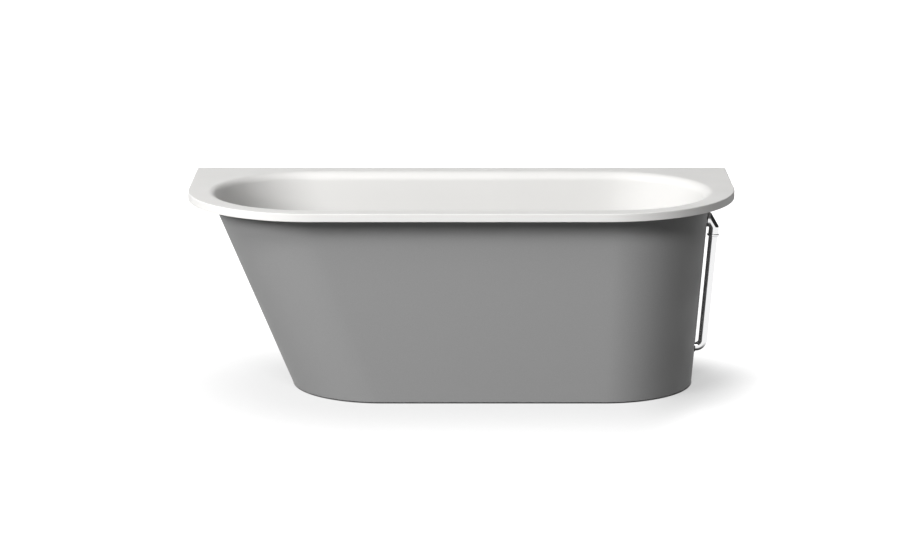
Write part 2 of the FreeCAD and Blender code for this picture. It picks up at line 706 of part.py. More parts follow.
def make_spring(along, low, high, radius):
    """The coil spring under the plug's piston."""
    rise = f"({high} - {low} - 2 * spring_wire - 2 * running_gap)"
    spring = new_body("plug_spring", (along, "0", f"{low} + spring_wire + running_gap"))
    inside, outside = f"{radius} - spring_wire", f"{radius} + spring_wire"
    wire = new_sketch(spring, "XZ_Plane", [
        (inside, "-spring_wire"), (outside, "-spring_wire"), (outside, "spring_wire"), (inside, "spring_wire")])
    coil = spring.newObject("PartDesign::AdditiveHelix", "Coil")
    coil.Profile = wire
    coil.ReferenceAxis = (next(item for item in spring.Origin.OriginFeatures if item.Role == "Z_Axis"), [""])
    coil.Mode = "pitch-height-angle"
    bind(coil, "Pitch", f"{rise} / spring_turns")
    bind(coil, "Height", rise)


def make_waste():
    """The waste body clamped under the floor, with the overflow's port and the spigot to the trap."""
    at_under = (DRAIN, "0", FLOOR_UNDER)
    turned("waste_seal", [
        ("drain_tube_radius + running_gap", "-waste_seal_height"), ("waste_flange", "-waste_seal_height"),
        ("waste_flange", "0"), ("drain_tube_radius + running_gap", "0")], at_under)
    flange_under = "-waste_seal_height - waste_flange_height"
    chamber_top = "(-waste_shoulder - waste_chamber + waste_neck)"
    spigot_end = "-waste_height - waste_spigot_length"
    waste = turned("waste_body", [
        ("0", spigot_end), ("waste_spigot", spigot_end), ("waste_spigot", "-waste_height"),
        ("waste_chamber", "-waste_height"), ("waste_chamber", chamber_top), ("waste_neck", "-waste_shoulder"),
        ("waste_neck", flange_under), ("waste_flange", flange_under),
        ("waste_flange", "-waste_seal_height"), ("0", "-waste_seal_height")], at_under)
    cylinder(waste, "Additive", "YZ_Plane", "port_radius", "port_reach", ("0", "-overflow_run_drop", "0"))
    cylinder(waste, "Subtractive", "XY_Plane", "drain_tube_radius + running_gap", "waste_height + overrun",
             ("0", "0", "waste_wall - waste_height"))
    cylinder(waste, "Subtractive", "XY_Plane", "waste_chamber - waste_wall",
             f"{chamber_top} + waste_height - 2 * waste_wall", ("0", "0", "waste_wall - waste_height"))
    cylinder(waste, "Subtractive", "XY_Plane", "waste_spigot - waste_wall",
             "waste_spigot_length + 2 * overrun", ("0", "0", f"{spigot_end} - overrun"))
    cylinder(waste, "Subtractive", "YZ_Plane", "pipe_radius - pipe_wall", "port_reach",
             ("0", "-overflow_run_drop", "0"))
    cylinder(waste, "Subtractive", "YZ_Plane", "pipe_radius + running_gap", "port_depth + overrun",
             ("0", "-overflow_run_drop", "port_reach - port_depth"))
    port, pipe = "port_radius + running_gap", "pipe_radius + running_gap"
    start, end = "port_reach - port_nut_length / 2", "port_reach + port_nut_length / 2"
    turned("tee_nut", [
        (port, start), ("port_nut_radius", start), ("port_nut_radius", end), (pipe, end),
        (pipe, "port_reach + seal_gap"), (port, "port_reach + seal_gap")],
        (DRAIN, "0", RUN_HEIGHT), TO_FOOT_END)


def make_trap():
    """The water trap: a bowl hung on the waste's spigot, a dip tube in it, and a pipe out to the wall."""
    at_bowl = (DRAIN, "0", "trap_floor_gap")
    chamber_under = f"({FLOOR_UNDER} - waste_height)"
    neck_top = f"({chamber_under} - trap_floor_gap - seal_gap)"
    lid = f"({neck_top} - trap_neck_height)"
    outlet = "(outlet_height - trap_floor_gap)"
    bowl = turned("trap_bowl", [
        ("0", "0"), ("trap_radius - trap_wall", "0", "trap_wall"), ("trap_radius", "trap_wall"),
        ("trap_radius", lid), ("trap_neck", lid), ("trap_neck", neck_top), ("0", neck_top)], at_bowl)
    cylinder(bowl, "Additive", "XZ_Plane", "outlet_radius + outlet_socket_wall", "outlet_socket_reach",
             ("0", outlet, "-outlet_socket_reach"))
    cylinder(bowl, "Subtractive", "XY_Plane", "trap_radius - trap_wall", f"{lid} - trap_lid - trap_wall",
             ("0", "0", "trap_wall"))
    cylinder(bowl, "Subtractive", "XY_Plane", "waste_spigot + running_gap",
             "trap_lid + trap_neck_height + 2 * overrun", ("0", "0", f"{lid} - trap_lid - overrun"))
    cylinder(bowl, "Subtractive", "XZ_Plane", "outlet_radius - outlet_wall", "outlet_socket_reach + overrun",
             ("0", outlet, "-outlet_socket_reach - overrun"))
    shank = "(outlet_radius - outlet_relief)"
    cylinder(bowl, "Subtractive", "XZ_Plane", f"{shank} + running_gap", "outlet_socket_depth + overrun",
             ("0", outlet, "-outlet_socket_reach - overrun"))
    neck = "trap_neck + running_gap"
    turned("trap_nut", [
        (neck, lid), ("trap_nut_radius", lid), ("trap_nut_radius", neck_top), (neck, neck_top)], at_bowl)
    dip_radius = "(waste_spigot - waste_wall - running_gap)"
    dip_low, dip_high = "trap_wall + dip_gap", f"{neck_top} - trap_lid"
    turned("dip_tube", [
        (f"{dip_radius} - dip_wall", dip_low), (dip_radius, dip_low), (dip_radius, dip_high),
        (f"{dip_radius} - dip_wall", dip_high)], at_bowl)
    at_outlet = (DRAIN, "0", "outlet_height")
    start, end = "outlet_socket_reach - outlet_nut_length / 2", "outlet_socket_reach + outlet_nut_length / 2"
    socket, pipe = "outlet_radius + outlet_socket_wall + running_gap", f"{shank} + running_gap"
    turned("outlet_nut", [
        (socket, start), ("outlet_nut_radius", start), ("outlet_nut_radius", end), (pipe, end),
        (pipe, "outlet_socket_reach + seal_gap"), (socket, "outlet_socket_reach + seal_gap")],
        at_outlet, TO_WALL, ALONG)
    pipe_start = "outlet_socket_reach - outlet_socket_depth"
    turned("outlet_pipe", [
        ("outlet_radius - outlet_wall", pipe_start), (shank, pipe_start), (shank, f"{end} + seal_gap"),
        ("outlet_radius", f"{end} + seal_gap"), ("outlet_radius", "outlet_end"),
        ("outlet_radius - outlet_wall", "outlet_end")],
        at_outlet, TO_WALL, ALONG)


def make_overflow_inlet():
    """The overflow inside the basin: a flanged tube through both walls, and a round cap standing off it."""
    at_hole = overflow_point("0")
    seat = f"({BASIN_FACE} + overflow_seat_depth)"
    flange_back = f"({seat} - overflow_seal_height)"
    flange_front = f"({flange_back} - overflow_flange_height)"
    tube = "(overflow_hole - overflow_tube_gap)"
    bore = f"({tube} - overflow_tube_wall)"
    tube_end = f"{ELBOW_FACE} + overflow_tube_reach"
    turned("overflow_seal", [
        ("overflow_hole", flange_back), ("overflow_flange_radius", flange_back),
        ("overflow_flange_radius", seat), ("overflow_hole", seat)], at_hole, OUTWARD)
    flange = turned("overflow_flange", [
        (bore, flange_front), ("overflow_flange_radius", flange_front),
        ("overflow_flange_radius", flange_back), (tube, flange_back), (tube, tube_end), (bore, tube_end),
    ], at_hole, OUTWARD)
    reach, half = f"({bore} + overflow_tube_wall / 2)", "(overflow_bar / 2)"
    cross_bar = new_sketch(flange, "XY_Plane", [
        (f"-{reach}", f"-{half}"), (reach, f"-{half}"), (reach, half), (f"-{reach}", half),
    ], ("0", "0", flange_front))
    extrude(flange, "Pad", cross_bar, "overflow_bar")
    cylinder(flange, "Subtractive", "XY_Plane", "cap_screw_radius + running_gap",
             "overflow_bar + 2 * overrun", ("0", "0", f"{flange_front} - overrun"))
    cap_back = f"({flange_front} - cap_standoff)"
    cap_front = f"({cap_back} - cap_height)"
    head_seat = f"({cap_front} + cap_screw_head_height)"
    recess, hole = "cap_screw_head + running_gap", "cap_screw_radius + running_gap"
    turned("overflow_cap", [
        (recess, cap_front), ("cap_radius - cap_edge", cap_front, "cap_edge"),
        ("cap_radius", f"{cap_front} + cap_edge"), ("cap_radius", cap_back), ("cap_post", cap_back),
        ("cap_post", flange_front), (hole, flange_front), (hole, head_seat), (recess, head_seat),
    ], at_hole, OUTWARD)
    screw_end = f"{head_seat} + cap_screw_length"
    turned("cap_screw", [
        ("0", cap_front), ("cap_screw_head", cap_front), ("cap_screw_head", head_seat),
        ("cap_screw_radius", head_seat), ("cap_screw_radius", screw_end), ("0", screw_end)], at_hole, OUTWARD)


def make_elbow():
    """The chrome elbow outside the skirt: a round boss, bevelled off into the socket for the pipe."""
    turned("elbow_seal", [
        ("overflow_hole", "-elbow_seat_depth"), ("elbow_radius", "-elbow_seat_depth"),
        ("elbow_radius", ELBOW_FACE), ("overflow_hole", ELBOW_FACE)], overflow_point("0"), OUTWARD)
    elbow = new_body("overflow_elbow", overflow_point("0"), FOOT_LEAN)
    reach = f"({PIPE_OUT} + elbow_socket_radius + elbow_lip)"
    cylinder(elbow, "Additive", "YZ_Plane", "elbow_radius", f"{reach} - {ELBOW_FACE}", ("0", "0", ELBOW_FACE))
    cylinder(elbow, "Additive", "XY_Plane", "elbow_socket_radius", "elbow_socket_drop",
             (PIPE_OUT, "0", "-elbow_socket_drop"))
    far, high = f"{reach} + overrun", "elbow_radius + overrun"
    bevel = new_sketch(elbow, "XZ_Plane", [
        ("elbow_bevel_top", "elbow_radius"), (reach, "-elbow_bevel_drop"), (far, "-elbow_bevel_drop"),
        (far, high), ("elbow_bevel_top", high)], ("0", "0", high))
    extrude(elbow, "Pocket", bevel, f"2 * ({high})")
    slope = f"atan(({reach} - elbow_bevel_top) / (elbow_radius + elbow_bevel_drop))"
    inset = "(elbow_flow_radius + elbow_wall)"
    flow_start = (f"elbow_bevel_top - cos({slope}) * {inset}", "0", f"elbow_radius - sin({slope}) * {inset}")
    cylinder(elbow, "Subtractive", "XY_Plane", "elbow_flow_radius", "elbow_flow_length", flow_start,
             f"180 deg - {slope}")
    cylinder(elbow, "Subtractive", "YZ_Plane", "overflow_hole - overflow_tube_gap + running_gap",
             "overflow_tube_reach + overrun + running_gap", ("0", "0", f"{ELBOW_FACE} - overrun"))
    cylinder(elbow, "Subtractive", "XY_Plane", "pipe_radius + running_gap", "elbow_socket_depth + overrun",
             (PIPE_OUT, "0", "-elbow_socket_drop - overrun"))
    bore, edge = "pipe_radius + running_gap", "ring_nut_radius - ring_nut_chamfer"
    turned("overflow_ring_nut", [
        (bore, "0"), (edge, "0"), ("ring_nut_radius", "ring_nut_chamfer"),
        ("ring_nut_radius", "ring_nut_height - ring_nut_chamfer"), (edge, "ring_nut_height"),
        (bore, "ring_nut_height")],
        overflow_point(PIPE_OUT, "-elbow_socket_drop - ring_nut_height"), FOOT_LEAN)


def make_pipe():
    """The chrome overflow pipe: down beside the skirt, round one bend, and level to the waste body."""
    pipe = new_body("overflow_pipe")
    top_x, _, top_z = overflow_point(PIPE_OUT, "elbow_socket_depth - elbow_socket_drop - seal_gap")
    corner_x = f"({top_x} - tan({FOOT_LEAN}) * ({top_z} - {RUN_HEIGHT}))"
    reach = f"(pipe_bend * tan((90 deg - {FOOT_LEAN}) / 2))"
    end_x = f"{DRAIN} + port_reach - port_depth + seal_gap"
    path = new_sketch(pipe, "XZ_Plane", [
        (top_x, top_z),
        (f"{corner_x} + sin({FOOT_LEAN}) * {reach}", f"{RUN_HEIGHT} + cos({FOOT_LEAN}) * {reach}",
         "-pipe_bend"),
        (f"{corner_x} - {reach}", RUN_HEIGHT), (end_x, RUN_HEIGHT)], closed=False)
    for kind, radius in (("AdditivePipe", "pipe_radius"), ("SubtractivePipe", "pipe_radius - pipe_wall")):
        ring = new_circle(pipe, "XY_Plane", radius, (top_x, "0", top_z), FOOT_LEAN)
        sweep = pipe.newObject(f"PartDesign::{kind}", kind)
        sweep.Profile = ring
        sweep.Spine = (path, [f"Edge{number}" for number in (1, 2, 3)])
    sleeve, wall = "pipe_radius + running_gap", "pipe_radius + running_gap + grommet_wall"
    inside, outside = "-skirt_wall - grommet_lip", "grommet_lip"
    turned("pipe_grommet", [(sleeve, inside), (wall, inside), (wall, outside), (sleeve, outside)],
           (skirt_foot(RUN_HEIGHT), "0", RUN_HEIGHT), TO_FOOT_END)


make_basin()
make_skirt()
make_board()
for label, side in RAIL_SIDES.items():
    make_rail(label, side)
make_screws("rail_screws", RAIL_SCREWS, f"({BOARD_UNDER} - rail_sheet)", "rail_sheet")
for number, place in enumerate(FEET, start=1):
    make_foot(number, place)
make_nuts("adjuster_nuts", "adjuster_nut_height", f"{WEB_UNDER} - adjuster_nut_height")
make_nuts("lock_nuts", "lock_nut_height", f"{WEB_UNDER} + rail_sheet")
for label, side in BRACKET_SIDES.items():
    make_bracket(label, side)
make_screws("bracket_screws", BRACKET_SCREWS, f"({RIM_UNDER} - bracket_sheet)", "bracket_sheet")
make_drain()
make_plug()
make_waste()
make_trap()
make_overflow_inlet()
make_elbow()
make_pipe()
doc.recompute()

for item in doc.Objects:
    if "Invalid" in item.State or "Error" in item.State:
        raise RuntimeError(f"{item.Label} failed to build")
for label, node in NODES.items():
    if node.Shape.isNull() or not node.Shape.isValid():
        raise RuntimeError(f"{label} has no valid solid")
os.makedirs("parts", exist_ok=True)
for label, node in NODES.items():
    node.Shape.exportStep(os.path.join("parts", f"{label}.step"))
    print(f"{label}: {len(node.Shape.Solids)} solid, {node.Shape.Volume:.0f} cubic mm")
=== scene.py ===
import math

import bmesh
import bpy
from mathutils import Matrix, Vector


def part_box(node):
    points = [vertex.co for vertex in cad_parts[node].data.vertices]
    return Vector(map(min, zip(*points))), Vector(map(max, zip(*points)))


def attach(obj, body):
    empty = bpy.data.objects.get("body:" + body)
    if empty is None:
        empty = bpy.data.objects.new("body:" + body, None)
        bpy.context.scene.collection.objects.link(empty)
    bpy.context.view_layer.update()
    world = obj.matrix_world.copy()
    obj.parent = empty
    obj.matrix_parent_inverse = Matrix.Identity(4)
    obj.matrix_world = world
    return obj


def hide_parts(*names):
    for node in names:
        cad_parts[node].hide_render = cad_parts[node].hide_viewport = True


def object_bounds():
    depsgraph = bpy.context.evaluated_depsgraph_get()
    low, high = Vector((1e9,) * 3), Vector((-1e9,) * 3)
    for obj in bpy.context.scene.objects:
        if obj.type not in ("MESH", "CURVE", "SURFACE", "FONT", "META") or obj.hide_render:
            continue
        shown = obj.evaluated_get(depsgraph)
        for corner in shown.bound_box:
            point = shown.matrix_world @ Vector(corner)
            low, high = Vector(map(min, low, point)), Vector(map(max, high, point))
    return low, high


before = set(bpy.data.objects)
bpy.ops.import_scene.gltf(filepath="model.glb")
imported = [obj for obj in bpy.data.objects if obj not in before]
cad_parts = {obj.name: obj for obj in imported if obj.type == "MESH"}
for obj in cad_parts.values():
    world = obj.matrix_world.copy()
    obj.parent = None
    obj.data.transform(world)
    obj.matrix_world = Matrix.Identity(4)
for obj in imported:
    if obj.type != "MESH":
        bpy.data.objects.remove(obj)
cad_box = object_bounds()

# The studio: a pale paper floor that runs out of sight, with a painted shadow round the skirt's foot, a key
# light at the front left with fills round it, and a white surround that chrome sees dark at its upper right.
FLOOR_HALF = 60.0
FLOOR_SHADE = (0.18, 0.20)
FLOOR_GLOW = 1.05
# Painted shadow: the floor's glow drops towards the skirt's foot, lower to the right, and goes out under the
# bath.
PAINTED_SHADOW_GLOW = (0.645, 0.51)
PAINTED_SHADOW_ENDS = (0.48, 0.74)
PAINTED_SHADOW_PLAN = (0.097, 0.340, 0.285)
PAINTED_SHADOW_REACH = (0.80, 0.36)
PAINTED_SHADOW_EDGE = (-0.002, 0.003)
PAINTED_SHADOW_BACK = 1.4
KEY = (Vector((0.641, 0.641, -0.423)), 14.0, (6.0, 4.0), 1690)
FRONT_FILL = (Vector((0, 0.707, -0.707)), 14.0, (4.0, 4.0), 700)
LEFT_FILL = (Vector((0.612, 0.354, -0.707)), 14.0, (4.0, 4.0), 440)
RIGHT_FILL = (Vector((-0.9, -0.42, -0.12)), 6.0, (2.0, 1.4), 12)
BACK_FILL = (Vector((-0.15, -1, -0.12)), 4.5, (3.0, 1.0), 120)
SKY_LEVEL = 0.05
BACKDROP_LEVEL = 1.05
SURROUND_LEVEL = (1.0, 0.02)
DARK_RIGHT = (0.10, 0.30)
DARK_ABOVE = (-0.08, 0.04)
BELOW_EDGES = (-0.90, -0.35)
BELOW_LEVEL = (0.05, 1.0)
CAMERA_PLACE = (-0.0049, -9.548, 2.477)
CAMERA_PITCH = math.radians(90 - 12.51)
CAMERA_LENS = 122.5
SENSOR_WIDTH = 36


def new_finish(name, colour, roughness, metallic=0.0, **sockets):
    """A material with its constants on the shader's own sockets, and its node tree and shader to add to."""
    material = bpy.data.materials.new(name)
    material.use_nodes = True
    shader = material.node_tree.nodes["Principled BSDF"]
    shader.inputs["Base Color"].default_value = colour
    shader.inputs["Roughness"].default_value = roughness
    shader.inputs["Metallic"].default_value = metallic
    for socket, value in sockets.items():
        shader.inputs[socket.replace("_", " ")].default_value = value
    return material, material.node_tree, shader


def flat_square(name, half):
    """A level square on the ground."""
    mesh = bpy.data.meshes.new(name)
    corners = [(-half, -half, 0), (half, -half, 0), (half, half, 0), (-half, half, 0)]
    mesh.from_pydata(corners, [], [(0, 1, 2, 3)])
    piece = bpy.data.objects.new(name, mesh)
    bpy.context.scene.collection.objects.link(piece)
    return piece


def worked(tree, operation, *values):
    """A sum in a node tree: its operation, and numbers or outputs to put in."""
    sum_node = tree.nodes.new("ShaderNodeMath")
    sum_node.operation = operation
    for socket, value in zip(sum_node.inputs, values):
        if isinstance(value, (int, float)):
            socket.default_value = value
        else:
            tree.links.new(value, socket)
    return sum_node.outputs["Value"]


def stepped(tree, value, low, high, start, end):
    """A soft step in a node tree from one level to another, each a number or an output."""
    step = tree.nodes.new("ShaderNodeMapRange")
    step.interpolation_type = "SMOOTHSTEP"
    tree.links.new(value, step.inputs["Value"])
    for socket, amount in zip(("From Min", "From Max", "To Min", "To Max"), (low, high, start, end)):
        if isinstance(amount, (int, float)):
            step.inputs[socket].default_value = amount
        else:
            tree.links.new(amount, step.inputs[socket])
    return step.outputs["Result"]


floor = flat_square("studio_floor", FLOOR_HALF)
floor_finish, tree, shader = new_finish("studio_paper", (0, 0, 0, 1), 0.9, Emission_Color=(1, 1, 1, 1))
place = tree.nodes.new("ShaderNodeTexCoord")
parts = tree.nodes.new("ShaderNodeSeparateXYZ")
tree.links.new(place.outputs["Object"], parts.inputs["Vector"])
middle, straight, round_end = PAINTED_SHADOW_PLAN
aside = worked(tree, "ABSOLUTE", worked(tree, "SUBTRACT", parts.outputs["X"], middle))
along = worked(tree, "MAXIMUM", worked(tree, "SUBTRACT", aside, straight), 0.0)
front = worked(tree, "MINIMUM", parts.outputs["Y"], 0.0)
back = worked(tree, "MULTIPLY", worked(tree, "MAXIMUM", parts.outputs["Y"], 0.0), PAINTED_SHADOW_BACK)
out_from = tree.nodes.new("ShaderNodeCombineXYZ")
tree.links.new(along, out_from.inputs["X"])
tree.links.new(worked(tree, "ADD", front, back), out_from.inputs["Y"])
away = tree.nodes.new("ShaderNodeVectorMath")
away.operation = "LENGTH"
tree.links.new(out_from.outputs["Vector"], away.inputs[0])
# Painted shadow: the glow is lowered near the skirt's foot, more at the right end, then rises to the even
# white.
painted_shadow_level = stepped(tree, parts.outputs["X"], *PAINTED_SHADOW_ENDS, *PAINTED_SHADOW_GLOW)
reach = worked(tree, "ADD", stepped(tree, parts.outputs["X"], *PAINTED_SHADOW_ENDS, *PAINTED_SHADOW_REACH), round_end)
glow_and_painted_shadow = stepped(tree, away.outputs["Value"], round_end, reach, painted_shadow_level, FLOOR_GLOW)
# Painted shadow under the bath: the glow goes to nothing inside the skirt's foot, a dark line along it.
clear = stepped(tree, away.outputs["Value"], *(round_end + edge for edge in PAINTED_SHADOW_EDGE), 0.0, 1.0)
ray = tree.nodes.new("ShaderNodeLightPath")
glow_and_painted_shadow = worked(tree, "MULTIPLY", worked(tree, "MULTIPLY", glow_and_painted_shadow, clear), ray.outputs["Is Camera Ray"])
tree.links.new(glow_and_painted_shadow, shader.inputs["Emission Strength"])
tree.links.new(stepped(tree, ray.outputs["Is Camera Ray"], 0, 1, *FLOOR_SHADE), shader.inputs["Base Color"])
floor.data.materials.append(floor_finish)
floor.visible_glossy = False


def softbox(name, heading, distance, sizes, power):
    """A flat lamp that shines along a heading at the middle of the bath."""
    lamp = bpy.data.objects.new(name, bpy.data.lights.new(name, "AREA"))
    lamp.data.shape = "RECTANGLE"
    lamp.data.size, lamp.data.size_y = sizes
    lamp.data.energy = power
    lamp.location = Vector((0, 0, cad_box[1][2] / 2)) - heading.normalized() * distance
    lamp.rotation_euler = heading.to_track_quat("-Z", "Y").to_euler()
    bpy.context.scene.collection.objects.link(lamp)
    return lamp


softbox("key_light", *KEY)
softbox("front_fill", *FRONT_FILL)
softbox("left_fill", *LEFT_FILL)
softbox("right_fill", *RIGHT_FILL).visible_glossy = False
softbox("back_fill", *BACK_FILL).visible_glossy = False

world = bpy.data.worlds.new("surround")
bpy.context.scene.world = world
world.use_nodes = True
tree = world.node_tree
sky = tree.nodes["Background"]
sky.inputs["Color"].default_value = (1, 1, 1, 1)
direction = tree.nodes.new("ShaderNodeTexCoord")
parts = tree.nodes.new("ShaderNodeSeparateXYZ")
tree.links.new(direction.outputs["Generated"], parts.inputs["Vector"])
right = stepped(tree, parts.outputs["X"], *DARK_RIGHT, 0.0, 1.0)
above = stepped(tree, parts.outputs["Z"], *DARK_ABOVE, 0.0, 1.0)
mirrored = stepped(tree, worked(tree, "MULTIPLY", right, above), 0, 1, *SURROUND_LEVEL)
below = stepped(tree, parts.outputs["Z"], *BELOW_EDGES, *BELOW_LEVEL)
mirrored = worked(tree, "MULTIPLY", mirrored, below)
ray = tree.nodes.new("ShaderNodeLightPath")
unseen = stepped(tree, ray.outputs["Is Glossy Ray"], 0, 1, SKY_LEVEL, mirrored)
seen = stepped(tree, ray.outputs["Is Camera Ray"], 0, 1, unseen, BACKDROP_LEVEL)
tree.links.new(seen, sky.inputs["Strength"])

camera = bpy.data.objects.new("camera", bpy.data.cameras.new("camera"))
camera.data.sensor_fit = "HORIZONTAL"
camera.data.sensor_width = SENSOR_WIDTH
camera.data.lens = CAMERA_LENS
camera.location = CAMERA_PLACE
camera.rotation_euler = (CAMERA_PITCH, 0, 0)
bpy.context.scene.collection.objects.link(camera)
bpy.context.scene.camera = camera
bpy.context.scene.view_settings.view_transform = "Standard"
bpy.context.scene.cycles.diffuse_bounces = 1

# The basin: one white mineral casting, poured with its flat rim, leaning backrest and drain recess,
# then sanded and polished to a satin gloss. It lies on the board below and overhangs the skirt.
basin_low, basin_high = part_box("bath_basin")
skirt_low, skirt_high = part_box("skirt_panel")
RIM_TOP = basin_high.z
RIM_UNDER = skirt_high.z
FLOOR_UNDER = basin_low.z
BASIN_FLOOR = 0.012
BASIN_WALL = 0.009
FLOOR_TOP = FLOOR_UNDER + BASIN_FLOOR
HEAD_LEAN = 0.245
FOOT_LEAN = 0.047
FRONT_LEAN = 0.024
BACK_REST = 0.022
SKIRT_WALL = 0.006
SKIRT_GAP = 0.002
BASIN_OUTSIDE = SKIRT_WALL + SKIRT_GAP
BASIN_INSIDE = BASIN_OUTSIDE + BASIN_WALL
FLOOR_ROUND = 0.080
UNDER_ROUND = 0.089
MOUTH_ROUND = 0.030
RIM_HEAD_CORNER = 0.394
RIM_FOOT_CORNER = 0.416
RIM_EDGE_ROUND = 0.0025
RIM_UNDER_CHAMFER = 0.0008
SUPPORT = 0.0012
SIDE_STEPS = 28
QUARTER_STEPS = 36
ROUND_STEPS = 14
EDGE_STEPS = 4
WALL_STEPS = 8
DRAIN = Vector((0.480, 0, 0))
OVERFLOW = Vector((0.76354, 0, 0.517))
FOOT_SLOPE = math.atan2(FOOT_LEAN, RIM_UNDER)
OUTWARD = Vector((math.cos(FOOT_SLOPE), 0, -math.sin(FOOT_SLOPE)))
UPWARD = Vector((math.sin(FOOT_SLOPE), 0, math.cos(FOOT_SLOPE)))
BASIN_FACE = -BASIN_INSIDE * math.cos(FOOT_SLOPE)
OVERFLOW_SEAT = BASIN_FACE + 0.0015
DRAIN_CUT = ((0.0246, FLOOR_UNDER - 0.008), (0.0246, FLOOR_TOP - 0.008), (0.0366, FLOOR_TOP - 0.008),
             (0.0366, FLOOR_TOP + 0.004))
OVERFLOW_CUT = ((0.031, BASIN_FACE - 0.010), (0.031, OVERFLOW_SEAT), (0.020, OVERFLOW_SEAT),
                (0.020, BASIN_FACE + 0.0095))
SHARP = math.radians(32)
WELD = 1e-7
CUT_WELD = 2e-6
SLIVER = 1e-6
TEXTURE_SPAN = (0.3, 0.7)
BASIN_WHITE = (0.795, 0.788, 0.772, 1)
BASIN_SHADE = (0.78, 0.773, 0.757, 1)
BASIN_SATIN = (0.34, 0.50)


def lean_share(height):
    """How far a height lies below the rim, as a share of the way to the floor."""
    return (RIM_UNDER - height) / RIM_UNDER


def skirt_plan(height):
    """Where the skirt's head end, foot end and front stand at a height."""
    share = lean_share(height)
    head, foot = skirt_low.x + HEAD_LEAN * share, skirt_high.x - FOOT_LEAN * share
    return head, foot, -skirt_low.y - FRONT_LEAN * share


def straight_run(start, end, steps, across=(0, 0)):
    """Points along a straight edge, short of its end, each with its outward normal."""
    along, aside = end[0] - start[0], end[1] - start[1]
    return [((start[0] + along * step / steps, start[1] + aside * step / steps), across)
            for step in range(steps)]


def quarter_turn(centre, radius, first, steps=QUARTER_STEPS):
    """Points round a quarter circle from its first quarter mark, short of its end, with outward normals."""
    points = []
    for step in range(steps):
        angle = math.radians(90) * (first + step / steps)
        across = (math.cos(angle), math.sin(angle))
        points.append(((centre[0] + radius * across[0], centre[1] + radius * across[1]), across))
    return points


def round_ended(height, inset):
    """The basin's plan at a height, as points and outward normals: two straight sides and two round ends."""
    head, foot, half = skirt_plan(height)
    head, foot, half = head + inset + BACK_REST * lean_share(height), foot - inset, half - inset
    ring = []
    for side, start, end in ((-1, head + half, foot - half), (1, foot - half, head + half)):
        ring += straight_run((start, side * half), (end, side * half), SIDE_STEPS, (0, side))
        ring += quarter_turn((end, 0), half, side) + quarter_turn((end, 0), half, side + 1)
    return [(Vector((*point, height)), Vector((*across, 0))) for point, across in ring]


class LeaningWall:
    """A wall ruled between two plans, that can be followed up at each of its points."""

    def __init__(self, low, high, inset):
        self.low = low
        self.rise = high - low
        self.feet = round_ended(low, inset)
        self.tops = round_ended(high, inset)

    def at(self, index, height, outward):
        foot, across = self.feet[index]
        share = (height - self.low) / self.rise
        return foot.lerp(self.tops[index][0], share) + across * outward

    def lean(self, index):
        foot, across = self.feet[index]
        return math.atan2((self.tops[index][0] - foot).dot(across), self.rise)


def floor_round(wall, radius):
    """Rings that turn from the level floor up into the leaning wall."""
    rings = []
    for step in range(ROUND_STEPS + 1):
        ring = []
        for index in range(len(wall.feet)):
            lean = wall.lean(index)
            turn = math.pi / 2 - lean
            angle = turn * step / ROUND_STEPS
            rise = radius * (1 - math.cos(angle))
            inward = rise * math.tan(lean) + radius * math.tan(turn / 2) - radius * math.sin(angle)
            ring.append(wall.at(index, wall.low + rise, -inward))
        rings.append(ring)
    return rings


def mouth_round(wall, radius):
    """Rings that turn from the leaning wall over into the level rim."""
    rings = []
    for step in range(ROUND_STEPS + 1):
        ring = []
        for index in range(len(wall.feet)):
            turn = math.pi / 2 - wall.lean(index)
            angle = turn * (1 - step / ROUND_STEPS)
            edge, across = wall.tops[index]
            outward = radius * (math.tan(turn / 2) - math.sin(angle))
            ring.append(edge + across * outward + Vector((0, 0, radius * (math.cos(angle) - 1))))
        rings.append(ring)
    return rings


def rim_outline():
    """The rim's plan point by point beside the mouth's: round front corners, square back corners."""
    low, high, half = basin_low, basin_high, QUARTER_STEPS // 2
    mouth = round_ended(RIM_TOP, BASIN_INSIDE)
    back_foot, back_head = mouth[SIDE_STEPS + 2 * QUARTER_STEPS][0].x, mouth[0][0].x
    head_x, foot_x = low.x + RIM_HEAD_CORNER, high.x - RIM_FOOT_CORNER
    head_y, foot_y = low.y + RIM_HEAD_CORNER, low.y + RIM_FOOT_CORNER
    corner = (high.x, high.y)
    points = straight_run((head_x, low.y), (foot_x, low.y), SIDE_STEPS, (0, -1))
    points += quarter_turn((foot_x, foot_y), RIM_FOOT_CORNER, -1)
    points += straight_run((high.x, foot_y), corner, half, (1, 0)) + [(corner, (1, 0))]
    points += straight_run(corner, (back_foot, high.y), half)[1:]
    points += straight_run((back_foot, high.y), (back_head, high.y), SIDE_STEPS)
    points += straight_run((back_head, high.y), (low.x, high.y), half)
    points += straight_run((low.x, high.y), (low.x, head_y), half, (-1, 0))
    points += quarter_turn((head_x, head_y), RIM_HEAD_CORNER, 2)
    return [(Vector((*point, 0)), Vector((*across, 0))) for point, across in points]


def rim_edge():
    """Rings from the rim's flat top, round its crisp edge and down to its underside. The first and last ring
    stand in from the square back edge too."""
    outline = rim_outline()
    levels = [(RIM_EDGE_ROUND + SUPPORT, 0)]
    for step in range(EDGE_STEPS + 1):
        angle = math.pi / 2 * step / EDGE_STEPS
        levels.append((RIM_EDGE_ROUND * (1 - math.sin(angle)), RIM_EDGE_ROUND * (1 - math.cos(angle))))
    thickness = RIM_TOP - RIM_UNDER
    levels += [(0, RIM_EDGE_ROUND + SUPPORT), (0, thickness - RIM_UNDER_CHAMFER - SUPPORT),
               (0, thickness - RIM_UNDER_CHAMFER), (RIM_UNDER_CHAMFER, thickness),
               (RIM_UNDER_CHAMFER + SUPPORT, thickness)]
    rings = []
    for number, (inward, down) in enumerate(levels):
        on_flat = number in (0, len(levels) - 1)
        ring = []
        for point, across in outline:
            forward = inward if on_flat and point.y == basin_high.y else 0
            ring.append(point - across * inward + Vector((0, -forward, RIM_TOP - down)))
        rings.append(ring)
    return rings


